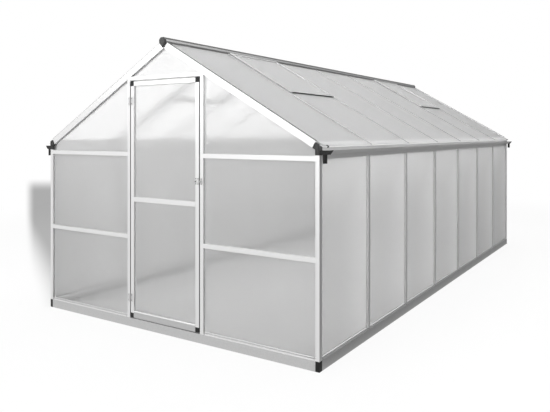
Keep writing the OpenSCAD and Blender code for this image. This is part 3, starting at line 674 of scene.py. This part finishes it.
    def lit(self, tree: Tree, place: Socket, rays: Rays) -> Socket:
        """Gives the share of glow: none inside the house, most outside, all far away.

        Args:
            tree: The floor's tree.
            place: Place on the floor.
            rays: The tree's ray factors.

        Returns:
            The share from zero to one.
        """
        across, along = self.house_half
        inverse = (1 / across, 1 / along, 0.0)
        part = {0: place, 1: inverse}
        share = add_node(tree, "ShaderNodeVectorMath", part, operation="MULTIPLY")[0]
        size = add_node(tree, "ShaderNodeVectorMath", {0: share}, operation="ABSOLUTE")[0]
        split = add_node(tree, "ShaderNodeSeparateXYZ", {"Vector": size})
        sides = {0: split["X"], 1: split["Y"]}
        largest = add_node(tree, "ShaderNodeMath", sides, operation="MAXIMUM")[0]
        outside = {0: rays.camera, 1: self.walls.over(tree, largest)}
        direct = add_node(tree, "ShaderNodeMath", outside, operation="MULTIPLY")[0]
        near = add_node(tree, "ShaderNodeMath", {0: direct, 1: self.glow}, operation="MULTIPLY")[0]
        distance = add_node(tree, "ShaderNodeVectorMath", {0: place}, operation="LENGTH")["Value"]
        reach = {0: self.fade.over(tree, distance), 2: near, 3: 1.0}
        faded = add_node(tree, "ShaderNodeMix", reach, data_type="FLOAT")[0]
        most = {0: faded, 1: rays.mirror}
        return add_node(tree, "ShaderNodeMath", most, operation="MAXIMUM")[0]


@dataclass
class Stage:
    """White surround, floor, soft lights and a level camera off the front right corner."""

    colour: str = "#FFFFFF"
    ambient: float = 0.34
    white: float = 1.0
    # A darker world that only reflections see: painted reflection on the metal's right-facing sides.
    reflection_shade: Edge = Edge(-0.2, 0.45, 0.7, 0.28)
    behind: Edge = Edge(0.3, 0.7)
    eye: tuple[float, float, float] = (2.964, -4.7415, 1.350)
    turn: float = math.radians(28.85)
    lens: float = 36.35
    sensor: float = 36.0
    shift: tuple[float, float] = (-0.1546, -0.1312)
    lamps: tuple[Lamp, ...] = (
        Lamp("key", (-3.5, -9.0, 5.5), 6.0, 430.0),
        Lamp("side", (10.2, -9.0, 4.3), 2.2, 1300.0, mirrored=False),
        Lamp("top", (0.0, 0.6, 9.0), 7.0, 560.0),
    )

    def build(self) -> None:
        """Builds the whole stage."""
        self.build_world()
        Floor(self.eye, self.turn, self.white, self.reflection_shade.after).build()
        for lamp in self.lamps:
            lamp.build()
        self.build_camera()

    def build_world(self) -> None:
        """White where it is seen, a plain grey light elsewhere, and a dark patch that only metal
        mirrors, a painted reflection.
        """
        world = bpy.data.worlds.new("studio")
        bpy.context.scene.world = world
        world.use_nodes = True
        tree = world.node_tree
        tree.nodes.clear()
        rays = Rays.of(tree)
        place = add_node(tree, "ShaderNodeTexCoord")["Generated"]
        toward = add_node(tree, "ShaderNodeSeparateXYZ", {"Vector": place})
        # Reflections toward the right and the back see it darker: painted reflection.
        reflection_shade, behind = self.reflection_shade.over(tree, toward["X"]), self.behind.over(tree, toward["Y"])
        around = {0: behind, 2: self.white, 3: reflection_shade}
        mirrored = add_node(tree, "ShaderNodeMix", around, data_type="FLOAT")[0]
        reach = {"Value": rays.seen, "To Min": self.ambient, "To Max": self.white}
        plain = add_node(tree, "ShaderNodeMapRange", reach)["Result"]
        either = {0: rays.mirror, 2: plain, 3: mirrored}
        strength = add_node(tree, "ShaderNodeMix", either, data_type="FLOAT")[0]
        white = {"Color": linear(self.colour), "Strength": strength}
        light = add_node(tree, "ShaderNodeBackground", white)["Background"]
        add_node(tree, "ShaderNodeOutputWorld", {"Surface": light})

    def build_camera(self) -> None:
        """Adds the camera at eye height, turned towards the left wall."""
        data = bpy.data.cameras.new("camera")
        data.lens = self.lens
        data.sensor_width = self.sensor
        data.shift_x, data.shift_y = self.shift
        camera = bpy.data.objects.new("camera", data)
        camera.location = self.eye
        camera.rotation_euler = (math.radians(90.0), 0.0, self.turn)
        bpy.context.scene.collection.objects.link(camera)
        bpy.context.scene.camera = camera


# ---- Measures, small parts and how they are made ----


def rectangle(first: tuple[float, float], last: tuple[float, float]) -> list[tuple[float, float]]:
    """Lists the corners of a rectangle, given two opposite ones."""
    return [first, (last[0], first[1]), last, (first[0], last[1])]


@dataclass
class House:
    """Measures of the house, most of them read from the boxes of its CAD nodes."""

    bays: int = 7
    vent_bays: tuple[int, ...] = (1, 5)
    sheet: float = 4 * MM
    post: float = 28 * MM
    pitch_rounds: int = 4
    half_w: float = 0.0
    half_l: float = 0.0
    pitch: float = 0.0
    ridge_z: float = 0.0
    roof_end: float = 0.0

    @classmethod
    def measured(cls) -> House:
        """Measures the posts and the right half of the roof.

        Returns:
            The filled-in measures.
        """
        house = cls()
        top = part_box("corner_posts")[1]
        house.half_w, house.half_l = top.x, top.y
        low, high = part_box("right_roof_sheets")
        run, rise = high.x - low.x, high.z - low.z
        house.pitch = math.atan2(rise, run)
        # The sheet's thickness widens its box, by an amount that depends on the pitch itself.
        for _ in range(house.pitch_rounds):
            sin, cos = math.sin(house.pitch), math.cos(house.pitch)
            house.pitch = math.atan2(rise - house.sheet * cos, run - house.sheet * sin)
        sin, cos = math.sin(house.pitch), math.cos(house.pitch)
        house.ridge_z = high.z + (low.x + house.sheet * sin) * sin / cos
        house.roof_end = high.x / cos
        return house

    @property
    def bay(self) -> float:
        """Length of one bay."""
        return 2 * self.half_l / self.bays

    def line(self, number: int) -> float:
        """Place along the house of the bar line with this number."""
        return number * self.bay - self.half_l

    def roof(self, side: int, down: float, along: float, lift: float = 0.0) -> Vector:
        """Finds a point on a roof slope.

        Args:
            side: 1 on the right, -1 on the left.
            down: Distance from the ridge line down the slope.
            along: Place along the house.
            lift: Distance out of the roof surface.

        Returns:
            The point in the shared frame.
        """
        sin, cos = math.sin(self.pitch), math.cos(self.pitch)
        return Vector(
            (side * (down * cos + lift * sin), along, self.ridge_z - down * sin + lift * cos)
        )

    def roof_normal(self, side: int) -> Vector:
        """Direction out of a roof slope."""
        return Vector((side * math.sin(self.pitch), 0.0, math.cos(self.pitch)))


@dataclass
class Piece:
    """A small part that is kept as one plain mesh and rides a body."""

    name: str
    finish: Finish
    body: str = field(default="root", kw_only=True)

    def keep(self, mesh: bpy.types.Mesh) -> None:
        """Places the finished mesh at the origin and hands it to the frame.

        Args:
            mesh: The piece's mesh, in the shared frame.
        """
        piece = bpy.data.objects.new(self.name, mesh)
        bpy.context.scene.collection.objects.link(piece)
        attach(piece, self.body)
        LOG.info("%s: %s, %d faces", self.name, self.finish.name, len(mesh.polygons))


class Head(Enum):
    """Shape of a fastener's head: number of sides, radius, height and recess in mm."""

    SCREW = (14, 3.6, 1.9, 1.1)
    SMALL_SCREW = (12, 2.4, 1.3, 0.8)
    PLATE_SCREW = (12, 3.1, 1.2, 0.9)
    PIVOT = (16, 5.6, 0.9, 0.5)
    HEX_NUT = (6, 5.8, 4.5, 2.5)


@dataclass
class Fasteners(Piece):
    """A set of like fasteners on one body, spread over points by geometry nodes."""

    head: Head
    crown: float = 0.8
    drive: float = 0.55
    spots: list[tuple[Vector, Vector]] = field(default_factory=list)

    def add(self, place: Sequence[float], facing: Sequence[float] = FORWARD) -> None:
        """Adds one fastener, seated at a place and facing a direction."""
        self.spots.append((Vector(place), Vector(facing).normalized()))

    def tree(self) -> bpy.types.GeometryNodeTree:
        """Builds the node tree: one head with a recess, set on every point.

        Returns:
            A tree with the inputs Sides, Radius, Height, Recess, Seed and Finish.
        """
        tree = bpy.data.node_groups.new(f"{self.name}_heads", "GeometryNodeTree")
        sizes = {"Sides": "Int", "Radius": "Float", "Height": "Float", "Recess": "Float"}
        inputs = {"Geometry": "Geometry", **sizes, "Seed": "Int", "Finish": "Material"}
        for name, kind in inputs.items():
            tree.interface.new_socket(name, in_out="INPUT", socket_type=f"NodeSocket{kind}")
        tree.interface.new_socket("Geometry", in_out="OUTPUT", socket_type="NodeSocketGeometry")
        given = add_node(tree, "NodeGroupInput")
        each = {
            "Points": given["Geometry"],
            "Instance": self.shape(tree, given),
            "Rotation": self.turned(tree, given["Seed"]),
        }
        heads = {"Geometry": add_node(tree, "GeometryNodeInstanceOnPoints", each)["Instances"]}
        real = add_node(tree, "GeometryNodeRealizeInstances", heads)["Geometry"]
        coat = {"Geometry": real, "Material": given["Finish"]}
        dressed = add_node(tree, "GeometryNodeSetMaterial", coat)["Geometry"]
        add_node(tree, "NodeGroupOutput", {0: dressed})
        return tree

    def shape(self, tree: Tree, given: bpy.types.NodeOutputs) -> Socket:
        """Adds one head: a disc with a bevelled crown and a sunk drive.

        Args:
            tree: The geometry tree.
            given: The tree's inputs, by name.

        Returns:
            The head's mesh.
        """
        sizes = {"Vertices": given["Sides"], "Radius": given["Radius"], "Depth": given["Height"]}
        disc = add_node(tree, "GeometryNodeMeshCylinder", sizes)
        half = add_node(tree, "ShaderNodeMath", {0: given["Height"], 1: 0.5}, operation="MULTIPLY")[0]
        up = add_node(tree, "ShaderNodeCombineXYZ", {"Z": half})[0]
        lifted = {"Geometry": disc["Mesh"], "Translation": up}
        seated = add_node(tree, "GeometryNodeTransform", lifted)["Geometry"]
        top = {"Geometry": seated, "Selection": disc["Top"], "Scale": self.crown}
        crown = add_node(tree, "GeometryNodeScaleElements", top)["Geometry"]
        inner = {"Mesh": crown, "Selection": disc["Top"], "Offset Scale": 0.0}
        rim = add_node(tree, "GeometryNodeExtrudeMesh", inner)
        hole = {"Geometry": rim["Mesh"], "Selection": rim["Top"], "Scale": self.drive}
        drive = add_node(tree, "GeometryNodeScaleElements", hole)["Geometry"]
        deep = add_node(tree, "ShaderNodeMath", {0: given["Recess"], 1: -1.0}, operation="MULTIPLY")
        sink = {"Mesh": drive, "Selection": rim["Top"], "Offset Scale": deep[0]}
        return add_node(tree, "GeometryNodeExtrudeMesh", sink)["Mesh"]

    def turned(self, tree: Tree, seed: Socket) -> Socket:
        """Adds the rotation of each head: it faces out and is turned by chance.

        Args:
            tree: The geometry tree.
            seed: Seed of the chance.

        Returns:
            The rotation.
        """
        facing = add_node(
            tree, "GeometryNodeInputNamedAttribute", {"Name": "facing"}, data_type="FLOAT_VECTOR"
        )
        toward = {"Vector": facing["Attribute"]}
        aimed = add_node(tree, "FunctionNodeAlignRotationToVector", toward, axis="Z")[0]
        chance = {"Max": math.pi, "Seed": seed}
        angle = add_node(tree, "FunctionNodeRandomValue", chance, data_type="FLOAT")[1]
        turn = {"Axis": Axis.Z.value, "Angle": angle}
        spin = add_node(tree, "FunctionNodeAxisAngleToRotation", turn)[0]
        both = {"Rotation": aimed, "Rotate By": spin}
        return add_node(tree, "FunctionNodeRotateRotation", both, rotation_space="LOCAL")[0]

    def build(self) -> None:
        """Makes the heads as one plain mesh that rides its body."""
        points = bpy.data.meshes.new(f"{self.name}_points")
        points.from_pydata([spot for spot, _ in self.spots], [], [])
        stored = points.attributes.new("facing", "FLOAT_VECTOR", "POINT")
        for item, (_, facing) in zip(stored.data, self.spots):
            item.vector = facing
        holder = bpy.data.objects.new(f"{self.name}_points", points)
        bpy.context.scene.collection.objects.link(holder)
        modifier = holder.modifiers.new("heads", "NODES")
        modifier.node_group = self.tree()
        sides, *sizes = self.head.value
        given = dict(zip(("Radius", "Height", "Recess"), (size * MM for size in sizes)))
        given |= {"Sides": sides, "Seed": SEED, "Finish": self.finish.material()}
        for socket in modifier.node_group.interface.items_tree:
            if socket.in_out == "INPUT" and socket.name in given:
                modifier[socket.identifier] = given[socket.name]
        bpy.context.view_layer.update()
        graph = bpy.context.evaluated_depsgraph_get()
        mesh = bpy.data.meshes.new_from_object(holder.evaluated_get(graph))
        bpy.data.objects.remove(holder)
        self.keep(mesh)


@dataclass
class Prisms(Piece):
    """Straight strips and blocks that share one piece."""

    solids: list[tuple[list[Vector], Vector]] = field(default_factory=list)

    def add(self, outline: list[Vector], sweep: Vector) -> None:
        """Adds an outline swept along a vector."""
        self.solids.append((outline, sweep))

    def build(self) -> None:
        """Makes the prisms as one plain mesh that rides its body."""
        shape = bmesh.new()
        for outline, sweep in self.solids:
            near = [shape.verts.new(point) for point in outline]
            far = [shape.verts.new(point + sweep) for point in outline]
            shape.faces.new(near)
            shape.faces.new(list(reversed(far)))
            for i, corner in enumerate(near):
                j = (i + 1) % len(near)
                shape.faces.new((near[j], corner, far[i], far[j]))
        bmesh.ops.recalc_face_normals(shape, faces=shape.faces)
        mesh = bpy.data.meshes.new(self.name)
        shape.to_mesh(mesh)
        shape.free()
        mesh.materials.append(self.finish.material())
        self.keep(mesh)


# ---- Sub-assemblies ----


@dataclass
class Assembly:
    """A part of the house that dresses its own CAD nodes and adds its small parts."""

    frame: dict[str, Any]
    house: House

    def build(self) -> None:
        """Dresses and completes the part."""
        raise NotImplementedError

    def dress(self, finish: Finish, *nodes: str) -> None:
        """Gives CAD nodes a finish.

        Args:
            finish: The finish that the nodes get.
            nodes: Names of the CAD nodes.
        """
        for name in nodes:
            obj = self.frame["nodes"][name]
            obj.data.materials.clear()
            obj.data.materials.append(finish.material())
            LOG.info("%s: %s", name, finish.name)


@dataclass
class Base(Assembly):
    """Folded steel base frame with its foot caps."""

    screw_in: float = 40 * MM
    splice_screw: float = 22 * MM

    def build(self) -> None:
        """Dresses the base and adds the screws at its corners and splices."""
        self.dress(STEEL, "base_front", "base_back", "base_left", "base_right")
        self.dress(BLACK, "foot_caps")
        house = self.house
        screws = Fasteners("base_screws", STEEL, Head.SCREW)
        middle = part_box("base_front")[1].z / 2
        corner = house.half_w - self.screw_in
        across = (-corner, corner, -self.splice_screw, self.splice_screw)
        for gable, x in product(BOTH, across):
            screws.add((x, gable * house.half_l, middle), (0.0, gable, 0.0))
        for side, end in product(BOTH, BOTH):
            y = end * (house.half_l - self.screw_in)
            screws.add((side * house.half_w, y, middle), (side, 0.0, 0.0))
        screws.build()


@dataclass
class Walls(Assembly):
    """Sills, posts, bars and rails of the four walls."""

    rail: float = 30 * MM
    nut_in: float = 16 * MM
    screw_in: float = 9 * MM

    def build(self) -> None:
        """Dresses the walls and adds their screws and nuts."""
        upright = ("corner_posts", "left_wall_bars", "right_wall_bars", "door_posts", "back_posts")
        level = ("front_sills", "back_sill", "door_header", "front_rails", "back_rails")
        self.dress(ALUMINIUM[Axis.Z], *upright)
        self.dress(ALUMINIUM[Axis.X], *level)
        self.dress(ALUMINIUM[Axis.Y], "left_sill", "right_sill")
        self.sill_screws()
        self.frame_nuts()

    def sill_screws(self) -> None:
        """Adds a small screw at the end of every sill and at the foot of every bar."""
        screws = Fasteners("sill_screws", DARK_FITTING, Head.SMALL_SCREW)
        low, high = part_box("right_sill")
        middle = (low.z + high.z) / 2
        front, sill_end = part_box("front_sills")[0].y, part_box("front_sills")[1].x
        post_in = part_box("door_posts")[1].x
        for side in BOTH:
            for x in (sill_end - self.screw_in, post_in + self.screw_in):
                screws.add((side * x, front, middle))
            along = [self.house.line(number) for number in range(1, self.house.bays)]
            along += [end * (high.y - self.screw_in) for end in BOTH]
            for y in along:
                screws.add((side * high.x, y, middle), (side, 0.0, 0.0))
        screws.build()

    def frame_nuts(self) -> None:
        """Adds the nuts inside the house where bars and rails meet their neighbours."""
        nuts = Fasteners("frame_nuts", FITTING, Head.HEX_NUT)
        low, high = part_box("right_wall_bars")
        heights = (low.z + self.nut_in, high.z - self.nut_in)
        for side, number, z in product(BOTH, range(1, self.house.bays), heights):
            nuts.add((side * low.x, self.house.line(number), z), (-side, 0.0, 0.0))
        post_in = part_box("door_posts")[1].x
        for node, gable in (("front_rails", -1), ("back_rails", 1)):
            low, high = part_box(node)
            inner = high.y if gable < 0 else low.y
            heights = (low.z + self.rail / 2, high.z - self.rail / 2)
            across = (high.x - self.nut_in, post_in + self.nut_in)
            for z, x, side in product(heights, across, BOTH):
                nuts.add((side * x, inner, z), (0.0, -gable, 0.0))
        nuts.build()


@dataclass
class Roof(Assembly):
    """Rafters, roof bars, ridge, eave gutters, knuckles and outlets."""

    lip: float = 11 * MM
    lip_rise: float = 5 * MM
    gasket_in: float = 1 * MM
    gasket_h: float = 2.5 * MM
    ridge_half: float = 32.4 * MM
    clip_w: float = 12 * MM
    clip_t: float = 3 * MM
    clip_deep: float = 12 * MM
    clip_in: float = 52 * MM
    clip_gap: float = 0.3 * MM
    screw_up: float = 30 * MM
    cap_rise: float = 4.2 * MM

    def build(self) -> None:
        """Dresses the roof and adds its gaskets, clips and screws."""
        self.dress(ALUMINIUM[Axis.X], "front_rafters", "back_rafters")
        self.dress(ROOF_ALUMINIUM_SHADED, "left_roof_bars", "right_roof_bars")
        self.dress(ALUMINIUM[Axis.Y], "left_eave_gutter", "right_eave_gutter")
        self.dress(RIDGE_SHADED, "ridge_beam")
        self.dress(CHARCOAL, "eave_knuckles", "ridge_end_caps")
        self.dress(BLACK, "gutter_outlets")
        self.gaskets()
        self.clips()
        self.screws()

    def gaskets(self) -> None:
        """Adds the rubber strip that caps each rafter's lip along the roof sheets; its grey line also
        paints the shade there.
        """
        house = self.house
        strips = Prisms("edge_gaskets", GASKET)
        end = (house.half_w - house.post) / math.cos(house.pitch)
        top = self.lip_rise + self.gasket_h
        for side, gable in product(BOTH, BOTH):
            y = gable * (house.half_l - self.gasket_in)
            section = rectangle((y, self.lip_rise), (gable * (house.half_l - self.lip), top))
            outline = [house.roof(side, self.ridge_half, along, lift) for along, lift in section]
            sweep = house.roof(side, end, y) - house.roof(side, self.ridge_half, y)
            strips.add(outline, sweep)
        strips.build()

    def clips(self) -> None:
        """Adds the black clip that grips the lower corner of each roof sheet at a gable."""
        house = self.house
        clips = Prisms("sheet_clips", BLACK)
        start, end = house.roof_end - self.clip_deep, house.roof_end + self.clip_t
        seat = house.roof_end + self.clip_gap
        low = -house.sheet - self.clip_gap
        profile = (
            (start, self.clip_gap),
            (seat, self.clip_gap),
            (seat, low),
            (start, low),
            (start, low - self.clip_t),
            (end, low - self.clip_t),
            (end, self.clip_t),
            (start, self.clip_t),
        )
        for side, gable in product(BOTH, BOTH):
            y = gable * (house.half_l - self.clip_in)
            outline = [house.roof(side, down, y, lift) for down, lift in profile]
            clips.add(outline, Vector((0.0, -gable * self.clip_w, 0.0)))
        clips.build()

    def screws(self) -> None:
        """Adds a screw at the lower end of every roof bar."""
        house = self.house
        screws = Fasteners("roof_screws", FITTING, Head.SCREW)
        down = house.roof_end - self.screw_up
        for side, number in product(BOTH, range(1, house.bays)):
            place = house.roof(side, down, house.line(number), self.cap_rise)
            screws.add(place, house.roof_normal(side))
        screws.build()


@dataclass
class Vents(Assembly):
    """Four roof vents, shown closed."""

    cap_t: float = 1.5 * MM
    rise: float = 13.8 * MM
    side_gap: float = 9 * MM
    screw_in: float = 12 * MM
    seal_h: float = 6 * MM
    seal_t: float = 1.2 * MM
    seal_in: float = 26 * MM
    seal_lift: float = 3 * MM
    seal_gap: float = 0.3 * MM
    seal_top: float = 40 * MM

    def build(self) -> None:
        """Dresses the vents and adds their screws and seals."""
        self.dress(VENT_ALUMINIUM_SHADED, "vent_frames")
        self.dress(ALUMINIUM[Axis.Y], "vent_sills")
        self.dress(ROOF_SHEET, "vent_sheets")
        house = self.house
        screws = Fasteners("vent_screws", FITTING, Head.SMALL_SCREW)
        seals = Prisms("vent_seals", RUBBER)
        for side, number in product(BOTH, house.vent_bays):
            low = house.line(number) + self.side_gap
            high = house.line(number + 1) - self.side_gap
            for y in (low + self.screw_in, high - self.screw_in):
                place = house.roof(side, self.end - self.screw_in, y, self.rise)
                screws.add(place, house.roof_normal(side))
            self.add_seals(seals, side, low, high)
        screws.build()
        seals.build()

    def add_seals(self, seals: Prisms, side: int, low: float, high: float) -> None:
        """Adds the seals at the lower edge and along both sides of one vent, which also paint the
        shade along these edges.

        Args:
            seals: The piece that gets them.
            side: 1 on the right slope, -1 on the left.
            low: Place of the vent's edge nearer the door.
            high: Place of the vent's edge nearer the back gable.
        """
        roof, end = self.house.roof, self.end
        start = low + self.seal_in
        foot, head = self.seal_lift, self.seal_lift + self.seal_h
        section = rectangle((end, foot), (end + self.seal_t, head))
        outline = [roof(side, down, start, lift) for down, lift in section]
        seals.add(outline, Vector((0.0, high - self.seal_in - start, 0.0)))
        for edge, step in ((low, -self.seal_t), (high, self.seal_t)):
            section = rectangle((self.seal_gap, edge), (self.seal_h, edge + step))
            outline = [roof(side, self.seal_top, along, lift) for lift, along in section]
            seals.add(outline, roof(side, end, edge) - roof(side, self.seal_top, edge))

    @property
    def end(self) -> float:
        """Distance from the ridge line down to the lower edge of the vents."""
        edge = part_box("vent_frames")[1].x - self.rise * math.sin(self.house.pitch)
        return edge / math.cos(self.house.pitch) - self.cap_t


@dataclass
class Glazing(Assembly):
    """Twin-wall sheets of the walls, the gables, the door and the roof."""

    bead_h: float = 6 * MM
    bead_t: float = 5 * MM
    bar_half: float = 15 * MM

    def build(self) -> None:
        """Adds the beads along the lower edges of the sheets and dresses the sheets."""
        self.beads()
        self.dress(GABLE_SHEET, "front_sheets", "back_sheets", "door_sheets")
        wall_sheet = replace(WALL_SHEET, bay=self.house.bay)
        self.dress(wall_sheet, "left_wall_sheets", "right_wall_sheets")
        self.dress(ROOF_SHEET, "left_roof_sheets", "right_roof_sheets")

    def beads(self) -> None:
        """Adds a white wedge-shaped bead on the sills, in front of the sheets of every bay; it also
        paints light on the sills' tops.
        """
        house = self.house
        beads = Prisms("glazing_beads", BEAD)
        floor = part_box("right_sill")[1].z
        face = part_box("front_sheets")[0].y
        near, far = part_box("door_posts")[1].x, house.half_w - house.post
        section = (
            (0.0, floor),
            (self.bead_t, floor),
            (self.bead_t, floor + self.bead_h / 2),
            (0.0, floor + self.bead_h),
        )
        for side, gable in product(BOTH, BOTH):
            outline = [Vector((side * near, -gable * (face - step), z)) for step, z in section]
            beads.add(outline, Vector((side * (far - near), 0.0, 0.0)))
        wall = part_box("right_wall_sheets")[1].x
        ends = [self.bar_half] * (house.bays + 1)
        ends[0] = ends[-1] = 2 * self.bar_half
        for side, number in product(BOTH, range(house.bays)):
            low = house.line(number) + ends[number]
            high = house.line(number + 1) - ends[number + 1]
            outline = [Vector((side * (wall + step), low, z)) for step, z in section]
            beads.add(outline, Vector((0.0, high - low, 0.0)))
        beads.build()


@dataclass
class Door(Assembly):
    """Swing door with its corner caps, seal, hinges and latch."""

    plate_t: float = 2 * MM
    hinge_half: float = 28 * MM
    hinge_screw_z: float = 18 * MM
    hub_in: float = 14 * MM
    latch_screw: tuple[float, float] = (10 * MM, 17 * MM)
    keeper_screw_z: float = 16 * MM
    bead_z: float = 40 * MM
    strip_in: float = 2 * MM
    strip_t: float = 0.8 * MM

    @property
    def face(self) -> float:
        """Front face of the hinge and latch plates."""
        return -self.house.half_l - self.plate_t

    def build(self) -> None:
        """Dresses the door and adds its screws and its kick strip."""
        self.dress(ALUMINIUM[Axis.Z], "door_stiles")
        self.dress(ALUMINIUM[Axis.X], "door_rails")
        self.dress(BLACK, "door_corner_caps")
        self.dress(RUBBER, "door_seal")
        self.dress(FITTING, "frame_hinge_leaves", "door_hinge_leaves", "hinge_pins")
        self.dress(FITTING, "latch_keeper", "door_latch")
        self.hinge_screws()
        self.latch_screws()
        self.kick_strip()

    def hinge_screws(self) -> None:
        """Adds two screws in each hinge leaf."""
        pin_low, pin_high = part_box("hinge_pins")
        for node, body in (("frame_hinge_leaves", "root"), ("door_hinge_leaves", "door")):
            low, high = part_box(node)
            x = (low.x + pin_low.x) / 2 if body == "root" else (pin_high.x + high.x) / 2
            screws = Fasteners(f"{body}_hinge_screws", DARK_FITTING, Head.PLATE_SCREW, body=body)
            middles = (low.z + self.hinge_half, high.z - self.hinge_half)
            for middle, way in product(middles, BOTH):
                screws.add((x, self.face, middle + way * self.hinge_screw_z))
            screws.build()

    def latch_screws(self) -> None:
        """Adds the dark screws of the keeper and the latch plate, and the latch's pivot."""
        low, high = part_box("latch_keeper")
        middle = (low.z + high.z) / 2
        keeper = Fasteners("keeper_screws", DARK_FITTING, Head.PLATE_SCREW)
        for way in BOTH:
            keeper.add(((low.x + high.x) / 2, self.face, middle + way * self.keeper_screw_z))
        keeper.build()
        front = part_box("door_latch")[0]
        hub = front.x + self.hub_in
        latch = Fasteners("latch_screws", DARK_FITTING, Head.PLATE_SCREW, body="door")
        across, up = self.latch_screw
        for i, j in product(BOTH, BOTH):
            latch.add((hub + i * across, self.face, middle + j * up))
        latch.build()
        pivot = Fasteners("latch_pivot", DARK_FITTING, Head.PIVOT, body="door")
        pivot.add((hub, front.y, middle))
        pivot.build()

    def kick_strip(self) -> None:
        """Adds the grey strip on the bottom rail, under its bead: painted shade of the rail's lower
        face.
        """
        strip = Prisms("door_kick_strip", KICK_SHADE, body="door")
        low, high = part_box("door_rails")
        bottom, top = low.z + self.strip_in, low.z + self.bead_z - self.strip_in
        back = -self.house.half_l
        section = rectangle((back, bottom), (back - self.strip_t, top))
        outline = [Vector((low.x, y, z)) for y, z in section]
        strip.add(outline, Vector((high.x - low.x, 0.0, 0.0)))
        strip.build()


def main() -> None:
    """Builds the looks in order."""
    logging.basicConfig(level=logging.INFO, format="%(name)s: %(message)s")
    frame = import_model()
    bpy.context.scene.view_settings.view_transform = "Standard"
    Stage().build()
    house = House.measured()
    LOG.info("pitch %.2f degrees, ridge at %.3f m", math.degrees(house.pitch), house.ridge_z)
    for part in (Base, Walls, Roof, Vents, Glazing, Door):
        part(frame, house).build()
        LOG.info("%s is built", part.__name__)


if __name__ == "__main__":
    main()
